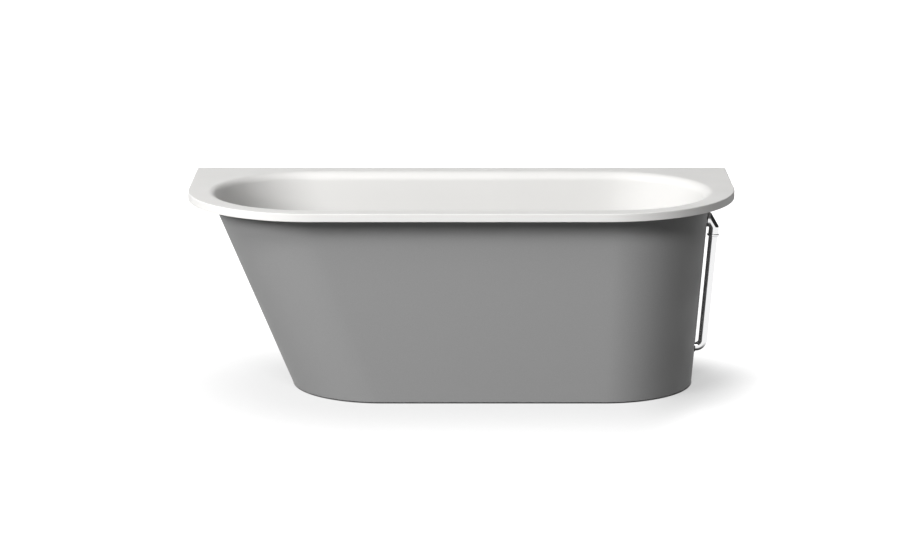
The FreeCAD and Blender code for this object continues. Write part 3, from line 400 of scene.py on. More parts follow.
def skinned(name, rings, capped=True):
    """A mesh piece skinned over rings of equal length, with a flat face over each end ring if capped."""
    mesh = bmesh.new()
    rows = [[mesh.verts.new(point) for point in ring] for ring in rings]
    count = len(rows[0])
    for near_row, far_row in zip(rows, rows[1:]):
        for index in range(count):
            after = (index + 1) % count
            mesh.faces.new((near_row[index], near_row[after], far_row[after], far_row[index]))
    if capped:
        mesh.faces.new(rows[0])
        mesh.faces.new(rows[-1])
    bmesh.ops.remove_doubles(mesh, verts=mesh.verts, dist=WELD)
    bmesh.ops.recalc_face_normals(mesh, faces=mesh.faces)
    data = bpy.data.meshes.new(name)
    mesh.to_mesh(data)
    mesh.free()
    piece = bpy.data.objects.new(name, data)
    bpy.context.scene.collection.objects.link(piece)
    return piece


def smoothed(piece, sharp=SHARP):
    """Smooth shading, left crisp at edges sharper than an angle."""
    piece.data.shade_smooth()
    piece.data.set_sharp_from_angle(angle=sharp)
    return piece


def lathe_rings(profile, place, axis, steps=96):
    """Rings of a turned form: (radius, distance) steps along an axis from a place."""
    turn = Vector(axis).to_track_quat("Z", "Y").to_matrix()
    circle = [Vector((math.cos(math.tau * step / steps), math.sin(math.tau * step / steps), 0))
              for step in range(steps)]
    return [[Vector(place) + turn @ (spoke * radius + Vector((0, 0, along))) for spoke in circle]
            for radius, along in profile]


def cut_away(piece, cutters, operation="DIFFERENCE"):
    """Cut the given forms out of a piece, or keep what they share, and make the result a plain mesh."""
    for cutter in cutters:
        cut = piece.modifiers.new("hole", "BOOLEAN")
        cut.object = cutter
        cut.operation = operation
        cut.solver = "EXACT"
    bpy.context.view_layer.update()
    result = bpy.data.meshes.new_from_object(piece.evaluated_get(bpy.context.evaluated_depsgraph_get()))
    piece.modifiers.clear()
    clean = bmesh.new()
    clean.from_mesh(result)
    bmesh.ops.remove_doubles(clean, verts=clean.verts, dist=CUT_WELD)
    bmesh.ops.dissolve_degenerate(clean, edges=clean.edges, dist=SLIVER)
    clean.to_mesh(result)
    clean.free()
    piece.data = result
    for cutter in cutters:
        bpy.data.objects.remove(cutter)
    return piece


bowl = LeaningWall(FLOOR_TOP, RIM_TOP, BASIN_INSIDE)
belly = LeaningWall(FLOOR_UNDER, RIM_UNDER, BASIN_OUTSIDE)
inside_floor = floor_round(bowl, FLOOR_ROUND)
mouth = mouth_round(bowl, MOUTH_ROUND)
inside_wall = [[low.lerp(high, step / WALL_STEPS) for low, high in zip(inside_floor[-1], mouth[0])]
               for step in range(1, WALL_STEPS)]
mouth_support = [[point + across * SUPPORT for point, (_, across) in zip(mouth[-1], bowl.tops)]]
outside_floor = floor_round(belly, UNDER_ROUND)
outside_top = [top for top, _ in belly.tops]
outside_wall = [[low.lerp(high, step / WALL_STEPS) for low, high in zip(outside_floor[-1], outside_top)]
                for step in range(1, WALL_STEPS + 1)]
basin = skinned("basin", inside_floor + inside_wall + mouth + mouth_support + rim_edge()
                + outside_wall[::-1] + outside_floor[::-1])
drain_cut = skinned("drain_cut", lathe_rings(DRAIN_CUT, DRAIN, (0, 0, 1)))
overflow_cut = skinned("overflow_cut", lathe_rings(OVERFLOW_CUT, OVERFLOW, OUTWARD))
cut_away(basin, [drain_cut, overflow_cut])
smoothed(basin)


def textured(tree, kind, scale, **inputs):
    """A texture node over the piece's own coordinates."""
    place = tree.nodes.new("ShaderNodeTexCoord")
    texture = tree.nodes.new(kind)
    texture.inputs["Scale"].default_value = scale
    for socket, value in inputs.items():
        texture.inputs[socket].default_value = value
    tree.links.new(place.outputs["Object"], texture.inputs["Vector"])
    return texture


def ranged(tree, output, target, low, high):
    """Drive a shader socket between two values."""
    span = tree.nodes.new("ShaderNodeMapRange")
    for socket, value in zip(("From Min", "From Max", "To Min", "To Max"), (*TEXTURE_SPAN, low, high)):
        span.inputs[socket].default_value = value
    tree.links.new(output, span.inputs["Value"])
    tree.links.new(span.outputs["Result"], target)


def coloured(tree, output, target, stops):
    """Drive a shader's colour through a run of colours."""
    ramp = tree.nodes.new("ShaderNodeValToRGB")
    while len(ramp.color_ramp.elements) < len(stops):
        ramp.color_ramp.elements.new(0.5)
    for element, (position, colour) in zip(ramp.color_ramp.elements, stops):
        element.position = position
        element.color = colour
    tree.links.new(output, ramp.inputs["Fac"])
    tree.links.new(ramp.outputs["Color"], target)


def bumped(tree, output, shader, strength, distance):
    """Roughen a surface by a texture."""
    bump = tree.nodes.new("ShaderNodeBump")
    bump.inputs["Strength"].default_value = strength
    bump.inputs["Distance"].default_value = distance
    tree.links.new(output, bump.inputs["Height"])
    tree.links.new(bump.outputs["Normal"], shader.inputs["Normal"])


basin_finish, tree, shader = new_finish("satin_white_casting", BASIN_WHITE, 0.42, Specular_IOR_Level=0.12)
haze = textured(tree, "ShaderNodeTexNoise", 9, Detail=6)
ranged(tree, haze.outputs["Fac"], shader.inputs["Roughness"], *BASIN_SATIN)
clouding = textured(tree, "ShaderNodeTexNoise", 3, Detail=3)
coloured(tree, clouding.outputs["Fac"], shader.inputs["Base Color"], ((0.3, BASIN_WHITE), (0.7, BASIN_SHADE)))
grain = textured(tree, "ShaderNodeTexNoise", 420, Detail=2)
bumped(tree, grain.outputs["Fac"], shader, 0.04, 0.0004)
basin.data.materials.append(basin_finish)
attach(basin, "bath")
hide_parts("bath_basin")

# The skirt: a thin grey casting that wraps the front and both ends, leaning in towards the floor, and
# turns in at the back. It stands just clear of the floor, hung from the underside of the rim.
SKIRT_FOOT = skirt_low.z
SKIRT_BACK = skirt_high.y
SKIRT_RETURN = 0.045
SKIRT_EDGE = 0.0012
SKIRT_STEPS = 26
END_STEPS = 26
SKIRT_GREY = (0.285, 0.285, 0.285, 1)
SKIRT_SHADE = (0.262, 0.262, 0.262, 1)
SKIRT_MATT = (0.46, 0.58)
RUN_HEIGHT = 0.110
PIPE_ENTRY = (0.73084, 0, RUN_HEIGHT)
ELBOW_CUT = ((0.020, -0.010), (0.020, -0.0012), (0.024, -0.0012), (0.024, 0.008))
PIPE_CUT = ((0.0168, -0.016), (0.0168, 0.012))


def skirt_path(height, inset):
    """The skirt's plan from its head-end return round the front to its foot-end return."""
    head, foot, half = skirt_plan(height)
    back, head_lip, foot_lip = SKIRT_BACK - inset, head + SKIRT_RETURN, foot - SKIRT_RETURN
    head, foot, half = head + inset, foot - inset, half - inset
    runs = straight_run((head, back), (head, 0), END_STEPS)
    runs += quarter_turn((head + half, 0), half, 2, 2 * QUARTER_STEPS)
    runs += straight_run((head + half, -half), (foot - half, -half), SIDE_STEPS)
    runs += quarter_turn((foot - half, 0), half, 3, 2 * QUARTER_STEPS)
    runs += straight_run((foot, 0), (foot, back), END_STEPS)
    path = [(head_lip, back), *(point for point, _ in runs), (foot, back), (foot_lip, back)]
    return [Vector((*point, height)) for point in path]


def skirt_ring(height, shave):
    """The skirt's whole section at a height: its outer path out, and its inner path back."""
    return skirt_path(height, shave) + skirt_path(height, SKIRT_WALL - shave)[::-1]


skirt_levels = [(SKIRT_FOOT, SKIRT_EDGE), (SKIRT_FOOT + SKIRT_EDGE, 0)]
skirt_levels += [(SKIRT_FOOT + SKIRT_EDGE + (RIM_UNDER - SKIRT_FOOT - 2 * SKIRT_EDGE) * step / SKIRT_STEPS, 0)
                 for step in range(1, SKIRT_STEPS + 1)]
skirt_levels.append((RIM_UNDER, SKIRT_EDGE))
skirt = skinned("skirt", [skirt_ring(height, shave) for height, shave in skirt_levels])
elbow_cut = skinned("elbow_cut", lathe_rings(ELBOW_CUT, OVERFLOW, OUTWARD))
pipe_cut = skinned("pipe_cut", lathe_rings(PIPE_CUT, PIPE_ENTRY, (1, 0, 0)))
cut_away(skirt, [elbow_cut, pipe_cut])
smoothed(skirt)
skirt_finish, tree, shader = new_finish("matt_grey_casting", SKIRT_GREY, 0.5, Specular_IOR_Level=0.3)
speckle = textured(tree, "ShaderNodeTexNoise", 700, Detail=2)
coloured(tree, speckle.outputs["Fac"], shader.inputs["Base Color"], ((0.35, SKIRT_SHADE), (0.65, SKIRT_GREY)))
wiped = textured(tree, "ShaderNodeTexNoise", 5, Detail=5)
ranged(tree, wiped.outputs["Fac"], shader.inputs["Roughness"], *SKIRT_MATT)
bumped(tree, speckle.outputs["Fac"], shader, 0.12, 0.0003)
skirt.data.materials.append(skirt_finish)
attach(skirt, "bath")
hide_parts("skirt_panel")

# The base board: moisture-proof chipboard bonded under the basin floor, with rounded corners and an
# opening for the drain. The CAD solid is kept and given its pressed flakes.
BOARD_FLAKES = ((0.2, (0.20, 0.12, 0.055, 1)), (0.5, (0.36, 0.24, 0.12, 1)), (0.85, (0.52, 0.38, 0.22, 1)))
BOARD_ROUGH = (0.7, 0.95)

board_finish, tree, shader = new_finish("pressed_chipboard", (0.36, 0.24, 0.12, 1), 0.8)
flakes = textured(tree, "ShaderNodeTexVoronoi", 190, Randomness=1.0)
coloured(tree, flakes.outputs["Color"], shader.inputs["Base Color"], BOARD_FLAKES)
ranged(tree, flakes.outputs["Distance"], shader.inputs["Roughness"], *BOARD_ROUGH)
bumped(tree, flakes.outputs["Distance"], shader, 0.35, 0.0008)


def dressed(node, finish):
    """Give a kept CAD node its material."""
    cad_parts[node].data.materials.clear()
    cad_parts[node].data.materials.append(finish)


dressed("base_board", board_finish)

# The cradle: two folded steel rails of hat section, galvanised after folding, each screwed up into the
# board by four pan-head screws. The rails are the CAD solids; the screws are one pattern of one screw.
SPANGLE = ((0.15, (0.46, 0.47, 0.48, 1)), (0.5, (0.58, 0.59, 0.60, 1)), (0.85, (0.70, 0.71, 0.72, 1)))
ZINC_DULL = (0.30, 0.52)
SCREW_HEAD = (0.0045, 0.0026)
SCREW_DOME = (0.62, 0.35)
SCREW_ROUNDS = (0.0004, 0.0009, 0.0002)
SCREW_SHANK = (0.0022, 0.0155)
SCREW_SLOT = (0.0042, 0.0010, 0.0013)
SLOT_PAST = 0.001
RAIL_SCREW_START = (-0.330, -0.1765, 0.1425)
RAIL_SCREW_STEPS = ((2, (0.850, 0, 0)), (2, (0, 0.300, 0)), (2, (0, 0.053, 0)))

zinc_finish, tree, shader = new_finish("galvanised_steel", (0.58, 0.59, 0.60, 1), 0.4, 1.0)
spangle = textured(tree, "ShaderNodeTexVoronoi", 85, Randomness=1.0)
coloured(tree, spangle.outputs["Color"], shader.inputs["Base Color"], SPANGLE)
dulled = textured(tree, "ShaderNodeTexNoise", 60, Detail=5)
ranged(tree, dulled.outputs["Fac"], shader.inputs["Roughness"], *ZINC_DULL)
bumped(tree, dulled.outputs["Fac"], shader, 0.10, 0.0004)
for node in ("front_rail", "rear_rail"):
    dressed(node, zinc_finish)


def rounded_corners(corners, steps=4):
    """A profile of (radius, distance[, rounding]) corners with its rounded ones turned into short arcs."""
    profile = []
    for index, corner in enumerate(corners):
        here = Vector(corner[:2])
        rounding = corner[2] if len(corner) > 2 else 0
        if not rounding:
            profile.append(tuple(here))
            continue
        before = (Vector(corners[index - 1][:2]) - here).normalized()
        after = (Vector(corners[(index + 1) % len(corners)][:2]) - here).normalized()
        half = math.acos(max(-1, min(1, before.dot(after)))) / 2
        centre = here + (before + after).normalized() * (rounding / math.sin(half))
        first, last = (here + way * (rounding / math.tan(half)) - centre for way in (before, after))
        for step in range(steps + 1):
            spoke = first.lerp(last, step / steps).normalized() * rounding
            profile.append(tuple(centre + spoke))
    return profile


def turned(name, corners, place, axis=(0, 0, 1), steps=64):
    """A solid of revolution over a closed profile of corners."""
    rings = lathe_rings(rounded_corners(corners), place, axis, steps)
    return smoothed(skinned(name, rings + rings[:1], capped=False))


def block(name, low, high):
    """A plain box between two corners, for cutting and joining."""
    rings = [[Vector((low[0], low[1], z)), Vector((high[0], low[1], z)), Vector((high[0], high[1], z)),
              Vector((low[0], high[1], z))] for z in (low[2], high[2])]
    return skinned(name, rings)


def node_inputs(tree, sockets):
    """Name the inputs of a Geometry Nodes tree after its geometry, and give back its ends."""
    tree.interface.new_socket("Geometry", in_out="INPUT", socket_type="NodeSocketGeometry")
    tree.interface.new_socket("Geometry", in_out="OUTPUT", socket_type="NodeSocketGeometry")
    for name, kind in sockets:
        tree.interface.new_socket(name, in_out="INPUT", socket_type=kind)
    return tree.nodes.new("NodeGroupInput"), tree.nodes.new("NodeGroupOutput")


def finished_by(tree, output, geometry):
    """End a tree as one real mesh with its material."""
    real = tree.nodes.new("GeometryNodeRealizeInstances")
    painted = tree.nodes.new("GeometryNodeSetMaterial")
    tree.links.new(geometry, real.inputs["Geometry"])
    tree.links.new(real.outputs["Geometry"], painted.inputs["Geometry"])
    tree.links.new(tree.nodes["Group Input"].outputs["Material"], painted.inputs["Material"])
    tree.links.new(painted.outputs["Geometry"], output.inputs["Geometry"])


def grown(piece, tree, **values):
    """Run a tree over a piece with its named inputs set, and keep the result as a plain mesh."""
    growth = piece.modifiers.new("growth", "NODES")
    growth.node_group = tree
    for item in tree.interface.items_tree:
        if item.in_out == "INPUT" and item.name in values:
            growth[item.identifier] = values[item.name]
    bpy.context.view_layer.update()
    result = bpy.data.meshes.new_from_object(piece.evaluated_get(bpy.context.evaluated_depsgraph_get()))
    piece.modifiers.clear()
    piece.data = result
    return piece


rows = bpy.data.node_groups.new("rows_of_a_piece", "GeometryNodeTree")
row_counts = [(f"Count {axis}", "NodeSocketInt") for axis in "ABC"]
row_steps = [(f"Step {axis}", "NodeSocketVector") for axis in "ABC"]
start, end = node_inputs(rows, [
    ("Start", "NodeSocketVector"), *row_counts, *row_steps, ("Material", "NodeSocketMaterial")])
laid = None
for axis in "CBA":
    line = rows.nodes.new("GeometryNodeMeshLine")
    rows.links.new(start.outputs[f"Count {axis}"], line.inputs["Count"])
    rows.links.new(start.outputs[f"Step {axis}"], line.inputs["Offset"])
    if axis == "A":
        rows.links.new(start.outputs["Start"], line.inputs["Start Location"])
    spread = rows.nodes.new("GeometryNodeInstanceOnPoints")
    rows.links.new(line.outputs["Mesh"], spread.inputs["Points"])
    rows.links.new(laid or start.outputs["Geometry"], spread.inputs["Instance"])
    laid = spread.outputs["Instances"]
finished_by(rows, end, laid)


def in_rows(piece, place, steps, finish):
    """Repeat a piece in rows from a first place, given (count, step) pairs."""
    values = {"Start": place, "Material": finish}
    for axis, (count, step) in zip("ABC", steps):
        values[f"Count {axis}"], values[f"Step {axis}"] = count, step
    return grown(piece, rows, **values)


def screw(name, shank_length):
    """A pan-head screw with its head down and a crossed slot in it, seated at the origin."""
    radius, height = SCREW_HEAD
    crown, edge, seat = SCREW_ROUNDS
    shank = SCREW_SHANK[0]
    piece = turned(name, [
        (0, -height), (radius * SCREW_DOME[0], -height, crown), (radius, -height * SCREW_DOME[1], edge),
        (radius, 0, seat), (shank, 0), (shank, shank_length - shank), (0, shank_length)], (0, 0, 0), steps=28)
    half, width, depth = SCREW_SLOT[0] / 2, SCREW_SLOT[1] / 2, SCREW_SLOT[2]
    slots = [block("slot_x", (-half, -width, -height - SLOT_PAST), (half, width, depth - height)),
             block("slot_y", (-width, -half, -height - SLOT_PAST), (width, half, depth - height))]
    return smoothed(cut_away(piece, slots))


rail_screws = screw("rail_screw_set", SCREW_SHANK[1])
in_rows(rail_screws, RAIL_SCREW_START, RAIL_SCREW_STEPS, zinc_finish)
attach(rail_screws, "bath")
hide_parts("rail_screws")

# The four levelling feet: a black nylon pad on the floor, a rolled steel stud standing in it, and a
# hexagon nut each side of the rail's web. Each stud turns in its nuts, so pad and stud rise together.
FEET = ((-0.355, -0.150), (0.545, -0.150), (-0.355, 0.150), (0.545, 0.150))
PAD = ((0, 0), (0.027, 0, 0.0008), (0.027, 0.004, 0.0012), (0.0145, 0.0136, 0.004), (0.011, 0.018, 0.0012),
       (0.00615, 0.018), (0.00615, 0.005), (0, 0.005))
STUD_FOOT = 0.005
STUD_LENGTH = 0.134
STUD_CORE = 0.0052
STUD_END = 0.001
THREAD_PITCH = 0.00175
THREAD_RIDGE = 0.00068
HELIX_STEPS = 14
RIDGE_SIDES = 6
NUT_ACROSS = 0.019
NUT_BORE = 0.00615
NUT_FACE = 0.97
NUT_CHAMFER = math.radians(30)
NUT_PAST = 1.02
NUT_GRID = ((2, (0.900, 0, 0)), (2, (0, 0.300, 0)), (1, (0, 0, 0)))
ADJUSTER = (0.010, 0.108)
LOCK = (0.007, 0.1205)
NYLON = ((0.35, (0.012, 0.012, 0.013, 1)), (0.65, (0.022, 0.022, 0.023, 1)))
NYLON_ROUGH = (0.36, 0.55)

nylon_finish, tree, shader = new_finish("black_nylon", (0.016, 0.016, 0.017, 1), 0.45)
mould = textured(tree, "ShaderNodeTexNoise", 240, Detail=3)
coloured(tree, mould.outputs["Fac"], shader.inputs["Base Color"], NYLON)
ranged(tree, mould.outputs["Fac"], shader.inputs["Roughness"], *NYLON_ROUGH)
bumped(tree, mould.outputs["Fac"], shader, 0.15, 0.0003)

thread = bpy.data.node_groups.new("rolled_thread", "GeometryNodeTree")
start, end = node_inputs(thread, [
    ("Length", "NodeSocketFloat"), ("Core", "NodeSocketFloat"), ("Pitch", "NodeSocketFloat"),
    ("Ridge", "NodeSocketFloat"), ("Material", "NodeSocketMaterial")])
turns = thread.nodes.new("ShaderNodeMath")
turns.operation = "DIVIDE"
helix = thread.nodes.new("GeometryNodeCurveSpiral")
helix.inputs["Resolution"].default_value = HELIX_STEPS
ridge = thread.nodes.new("GeometryNodeCurvePrimitiveCircle")
ridge.inputs["Resolution"].default_value = RIDGE_SIDES
swept = thread.nodes.new("GeometryNodeCurveToMesh")
swept.inputs["Fill Caps"].default_value = True
both = thread.nodes.new("GeometryNodeJoinGeometry")
for output, target in (
        (start.outputs["Length"], turns.inputs[0]), (start.outputs["Pitch"], turns.inputs[1]),
        (turns.outputs["Value"], helix.inputs["Rotations"]),
        (start.outputs["Length"], helix.inputs["Height"]),
        (start.outputs["Core"], helix.inputs["Start Radius"]),
        (start.outputs["Core"], helix.inputs["End Radius"]),
        (start.outputs["Ridge"], ridge.inputs["Radius"]), (helix.outputs["Curve"], swept.inputs["Curve"]),
        (ridge.outputs["Curve"], swept.inputs["Profile Curve"]),
        (start.outputs["Geometry"], both.inputs["Geometry"]),
        (swept.outputs["Mesh"], both.inputs["Geometry"])):
    thread.links.new(output, target)
finished_by(thread, end, both.outputs["Geometry"])


def hexagon_nut(name, height):
    """A hexagon nut standing on the origin, its corners chamfered off both faces."""
    corner = NUT_ACROSS / math.sqrt(3)
    rim, past = NUT_ACROSS / 2 * NUT_FACE, corner * NUT_PAST
    fall = (corner - rim) * math.tan(NUT_CHAMFER)
    piece = skinned(name, lathe_rings([(corner, 0), (corner, height)], (0, 0, 0), (0, 0, 1), 6))
    barrel = turned("barrel", [(NUT_BORE, 0), (rim, 0), (past, fall), (past, height - fall),
                               (rim, height), (NUT_BORE, height)], (0, 0, 0), steps=48)
    return smoothed(cut_away(piece, [barrel], "INTERSECT"))


for number, (x, y) in enumerate(FEET, start=1):
    pad = turned(f"foot_pad_{number}_nylon", PAD, (x, y, 0))
    pad.data.materials.append(nylon_finish)
    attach(pad, f"foot_{number}")
    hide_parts(f"foot_pad_{number}")
    stud = turned(f"foot_stud_{number}_thread", [
        (0, 0), (STUD_CORE, 0), (STUD_CORE, STUD_LENGTH, STUD_END), (0, STUD_LENGTH)], (0, 0, 0), steps=24)
    grown(stud, thread, Length=STUD_LENGTH - 2 * STUD_END, Core=STUD_CORE, Pitch=THREAD_PITCH,
          Ridge=THREAD_RIDGE, Material=zinc_finish)
    stud.data.transform(Matrix.Translation((x, y, STUD_FOOT)))
    smoothed(stud)
    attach(stud, f"foot_{number}")
    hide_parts(f"foot_stud_{number}")
for node, (height, base) in (("adjuster_nuts", ADJUSTER), ("lock_nuts", LOCK)):
    nuts = in_rows(hexagon_nut(f"{node}_set", height), (*FEET[0], base), NUT_GRID, zinc_finish)
    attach(nuts, "bath")
    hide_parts(node)

# The wall brackets: two steel angles under the back of the rim, each held up by two short screws, with
# two holes for the screws into the room wall. The angles are the CAD solids.
BRACKET_SCREW_STEPS = ((2, (0.840, 0, 0)), (2, (0.030, 0, 0)), (1, (0, 0, 0)))
bracket_low, bracket_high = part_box("bracket_screws")
bracket_start = (bracket_low.x + SCREW_HEAD[0], (bracket_low.y + bracket_high.y) / 2,
                 bracket_low.z + SCREW_HEAD[1])
bracket_screws = screw("bracket_screw_set", bracket_high.z - bracket_low.z - SCREW_HEAD[1])
in_rows(bracket_screws, bracket_start, BRACKET_SCREW_STEPS, zinc_finish)
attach(bracket_screws, "bath")
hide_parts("bracket_screws")
for node in ("wall_bracket_head", "wall_bracket_foot"):
    dressed(node, zinc_finish)

# The drain: a turned and chromed brass flange let into the basin floor on a rubber seal, its tube
# crossed by a spider that holds the click barrel. The two seals are the CAD solids.
CHROME = (0.90, 0.90, 0.905, 1)
DRAIN_FLANGE = ((0.0214, -0.046), (0.024, -0.046), (0.024, -0.0065), (0.036, -0.0065), (0.036, 0, 0.0012),
                (0.029, 0, 0.0016), (0.0214, -0.0076, 0.002))
HUB = ((0.00815, -0.036), (0.012, -0.036, 0.0006), (0.012, -0.030, 0.0008), (0.00815, -0.030))
SPIDER_ARM = (0.011, 0.0226, 0.0025)
SPIDER_HEIGHTS = (FLOOR_TOP - 0.036, FLOOR_TOP - 0.030)
CHROME_WIPED = (0.035, 0.11)
RUBBER = ((0.35, (0.010, 0.010, 0.010, 1)), (0.65, (0.022, 0.022, 0.021, 1)))
RUBBER_ROUGH = (0.62, 0.88)

chrome_finish, tree, shader = new_finish("polished_chrome", CHROME, 0.06, 1.0)
wiping = textured(tree, "ShaderNodeTexNoise", 26, Detail=6)
ranged(tree, wiping.outputs["Fac"], shader.inputs["Roughness"], *CHROME_WIPED)

rubber_finish, tree, shader = new_finish("black_rubber", (0.016, 0.016, 0.016, 1), 0.75,
                                         Specular_IOR_Level=0.3)
skin = textured(tree, "ShaderNodeTexNoise", 320, Detail=4)
coloured(tree, skin.outputs["Fac"], shader.inputs["Base Color"], RUBBER)
ranged(tree, skin.outputs["Fac"], shader.inputs["Roughness"], *RUBBER_ROUGH)
bumped(tree, skin.outputs["Fac"], shader, 0.2, 0.0003)


def joined(name, pieces):
    """Merge pieces into one mesh piece."""
    merged = bmesh.new()
    for part in pieces:
        merged.from_mesh(part.data)
        bpy.data.objects.remove(part)
    data = bpy.data.meshes.new(name)
    merged.to_mesh(data)
    merged.free()
    piece = bpy.data.objects.new(name, data)
    bpy.context.scene.collection.objects.link(piece)
    return smoothed(piece)


drain_place = DRAIN + Vector((0, 0, FLOOR_TOP))
arms = []
inner, outer, half = SPIDER_ARM
for way in ((1, 0), (0, 1), (-1, 0), (0, -1)):
    low, high = ([pick(part * inner, part * outer) if part else side * half for part in way]
                 for pick, side in ((min, -1), (max, 1)))
    arms.append(block("arm", (DRAIN.x + low[0], low[1], SPIDER_HEIGHTS[0]),
                      (DRAIN.x + high[0], high[1], SPIDER_HEIGHTS[1])))
drain = joined("drain_flange_chrome", [turned("ring", DRAIN_FLANGE, drain_place, steps=96),
                                       turned("hub", HUB, drain_place), *arms])
drain.data.materials.append(chrome_finish)
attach(drain, "bath")
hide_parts("drain_flange")
for node in ("drain_seal", "waste_seal"):
    dressed(node, rubber_finish)

# The click plug: a domed and chromed cap on a brass stem with a rubber seal, pressed down into a sprung
# brass barrel that latches it. Cap apart, its pieces are the CAD solids.
PLUG_CROWN = 0.0055
PLUG_EDGE = (0.031, 0.0017, 0.0006)
PLUG_UNDER = ((0.00615, -0.0014), (0.010, -0.0014), (0.010, 0.0005), (0.031, 0.0005, 0.0004))
PLUG_SOCKET = ((0, 0.0017), (0.00615, 0.0017))
DOME_STEPS = 12
BRASS = ((0.3, (0.56, 0.38, 0.14, 1)), (0.7, (0.70, 0.50, 0.21, 1)))
BRASS_DULL = (0.22, 0.42)
SPRING_DULL = (0.24, 0.45)

dome_rise = PLUG_CROWN - PLUG_EDGE[1]
dome_radius = (PLUG_EDGE[0] ** 2 + dome_rise ** 2) / (2 * dome_rise)
dome = [PLUG_EDGE[0] * (1 - step / DOME_STEPS) for step in range(1, DOME_STEPS + 1)]
dome = [(radius, PLUG_CROWN - dome_radius + math.sqrt(dome_radius ** 2 - radius ** 2)) for radius in dome]
plug = turned("plug_cap_chrome", [*PLUG_UNDER, PLUG_EDGE, *dome, *PLUG_SOCKET], drain_place, steps=96)
plug.data.materials.append(chrome_finish)
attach(plug, "plug")
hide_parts("plug_cap")

brass_finish, tree, shader = new_finish("turned_brass", (0.62, 0.44, 0.17, 1), 0.3, 1.0)
tarnish = textured(tree, "ShaderNodeTexNoise", 90, Detail=5)
coloured(tree, tarnish.outputs["Fac"], shader.inputs["Base Color"], BRASS)
ranged(tree, tarnish.outputs["Fac"], shader.inputs["Roughness"], *BRASS_DULL)
turning = textured(tree, "ShaderNodeTexWave", 900)
turning.bands_direction = "Z"
bumped(tree, turning.outputs["Fac"], shader, 0.06, 0.0002)
for node in ("plug_stem", "click_barrel"):
    dressed(node, brass_finish)
dressed("plug_seal", rubber_finish)

spring_finish, tree, shader = new_finish("drawn_spring_steel", (0.34, 0.34, 0.35, 1), 0.32, 1.0)
drawn = textured(tree, "ShaderNodeTexNoise", 500, Detail=3)
ranged(tree, drawn.outputs["Fac"], shader.inputs["Roughness"], *SPRING_DULL)
dressed("plug_spring", spring_finish)

# The waste and its trap: white polypropylene mouldings under the drain, joined by ribbed hand nuts, with
# a dip tube for the water seal and a plain pipe out to the wall. The mouldings are the CAD solids.
PLASTIC = ((0.3, (0.74, 0.74, 0.72, 1)), (0.7, (0.80, 0.80, 0.785, 1)))
PLASTIC_ROUGH = (0.32, 0.5)
RIB_DEPTH = 0.0016
RIB_WIDTH = 0.0022
RIB_SHARE = 0.8
HAND_NUTS = (
    ("tee_nut", ((0.01815, 0.050), (0.0214, 0.050, 0.0008), (0.0214, 0.070, 0.0008), (0.01415, 0.070),
                 (0.01415, 0.0603), (0.01815, 0.0603)), 0.0230, 26, (0, 0, RUN_HEIGHT), (0, math.pi / 2, 0)),
    ("trap_nut", ((0.02615, 0.0807), (0.0294, 0.0807, 0.0008), (0.0294, 0.0887, 0.0008), (0.02615, 0.0887)),
     0.0310, 36, (0, 0, 0), (0, 0, 0)),
    ("outlet_nut", ((0.02365, 0.061), (0.0274, 0.061, 0.0008), (0.0274, 0.079, 0.0008), (0.01985, 0.079),
                    (0.01985, 0.0703), (0.02365, 0.0703)), 0.0290, 32, (0, 0, 0.056), (-math.pi / 2, 0, 0)),
)

plastic_finish, tree, shader = new_finish("white_polypropylene", (0.78, 0.78, 0.765, 1), 0.4)
flow = textured(tree, "ShaderNodeTexNoise", 45, Detail=5)
coloured(tree, flow.outputs["Fac"], shader.inputs["Base Color"], PLASTIC)
ranged(tree, flow.outputs["Fac"], shader.inputs["Roughness"], *PLASTIC_ROUGH)
peel = textured(tree, "ShaderNodeTexNoise", 600, Detail=2)
bumped(tree, peel.outputs["Fac"], shader, 0.08, 0.0003)

ribs = bpy.data.node_groups.new("ribs_round_a_nut", "GeometryNodeTree")
start, end = node_inputs(ribs, [
    ("Ribs", "NodeSocketInt"), ("Reach", "NodeSocketFloat"), ("Rib", "NodeSocketVector"),
    ("Height", "NodeSocketVector"), ("Place", "NodeSocketVector"), ("Turn", "NodeSocketVector"),
    ("Material", "NodeSocketMaterial")])
circle = ribs.nodes.new("GeometryNodeMeshCircle")
rib = ribs.nodes.new("GeometryNodeMeshCube")
where = ribs.nodes.new("GeometryNodeInputPosition")
aim = ribs.nodes.new("FunctionNodeAlignEulerToVector")
spread = ribs.nodes.new("GeometryNodeInstanceOnPoints")
lifted = ribs.nodes.new("GeometryNodeTransform")
both = ribs.nodes.new("GeometryNodeJoinGeometry")
real = ribs.nodes.new("GeometryNodeRealizeInstances")
moved = ribs.nodes.new("GeometryNodeTransform")
for output, target in (
        (start.outputs["Ribs"], circle.inputs["Vertices"]), (start.outputs["Reach"], circle.inputs["Radius"]),
        (start.outputs["Rib"], rib.inputs["Size"]), (where.outputs["Position"], aim.inputs["Vector"]),
        (circle.outputs["Mesh"], spread.inputs["Points"]), (rib.outputs["Mesh"], spread.inputs["Instance"]),
        (aim.outputs["Rotation"], spread.inputs["Rotation"]),
        (spread.outputs["Instances"], lifted.inputs["Geometry"]),
        (start.outputs["Height"], lifted.inputs["Translation"]),
        (start.outputs["Geometry"], both.inputs["Geometry"]),
        (lifted.outputs["Geometry"], both.inputs["Geometry"]),
        (both.outputs["Geometry"], real.inputs["Geometry"]),
        (real.outputs["Geometry"], moved.inputs["Geometry"]),
        (start.outputs["Place"], moved.inputs["Translation"]),
        (start.outputs["Turn"], moved.inputs["Rotation"])):
    ribs.links.new(output, target)
finished_by(ribs, end, moved.outputs["Geometry"])

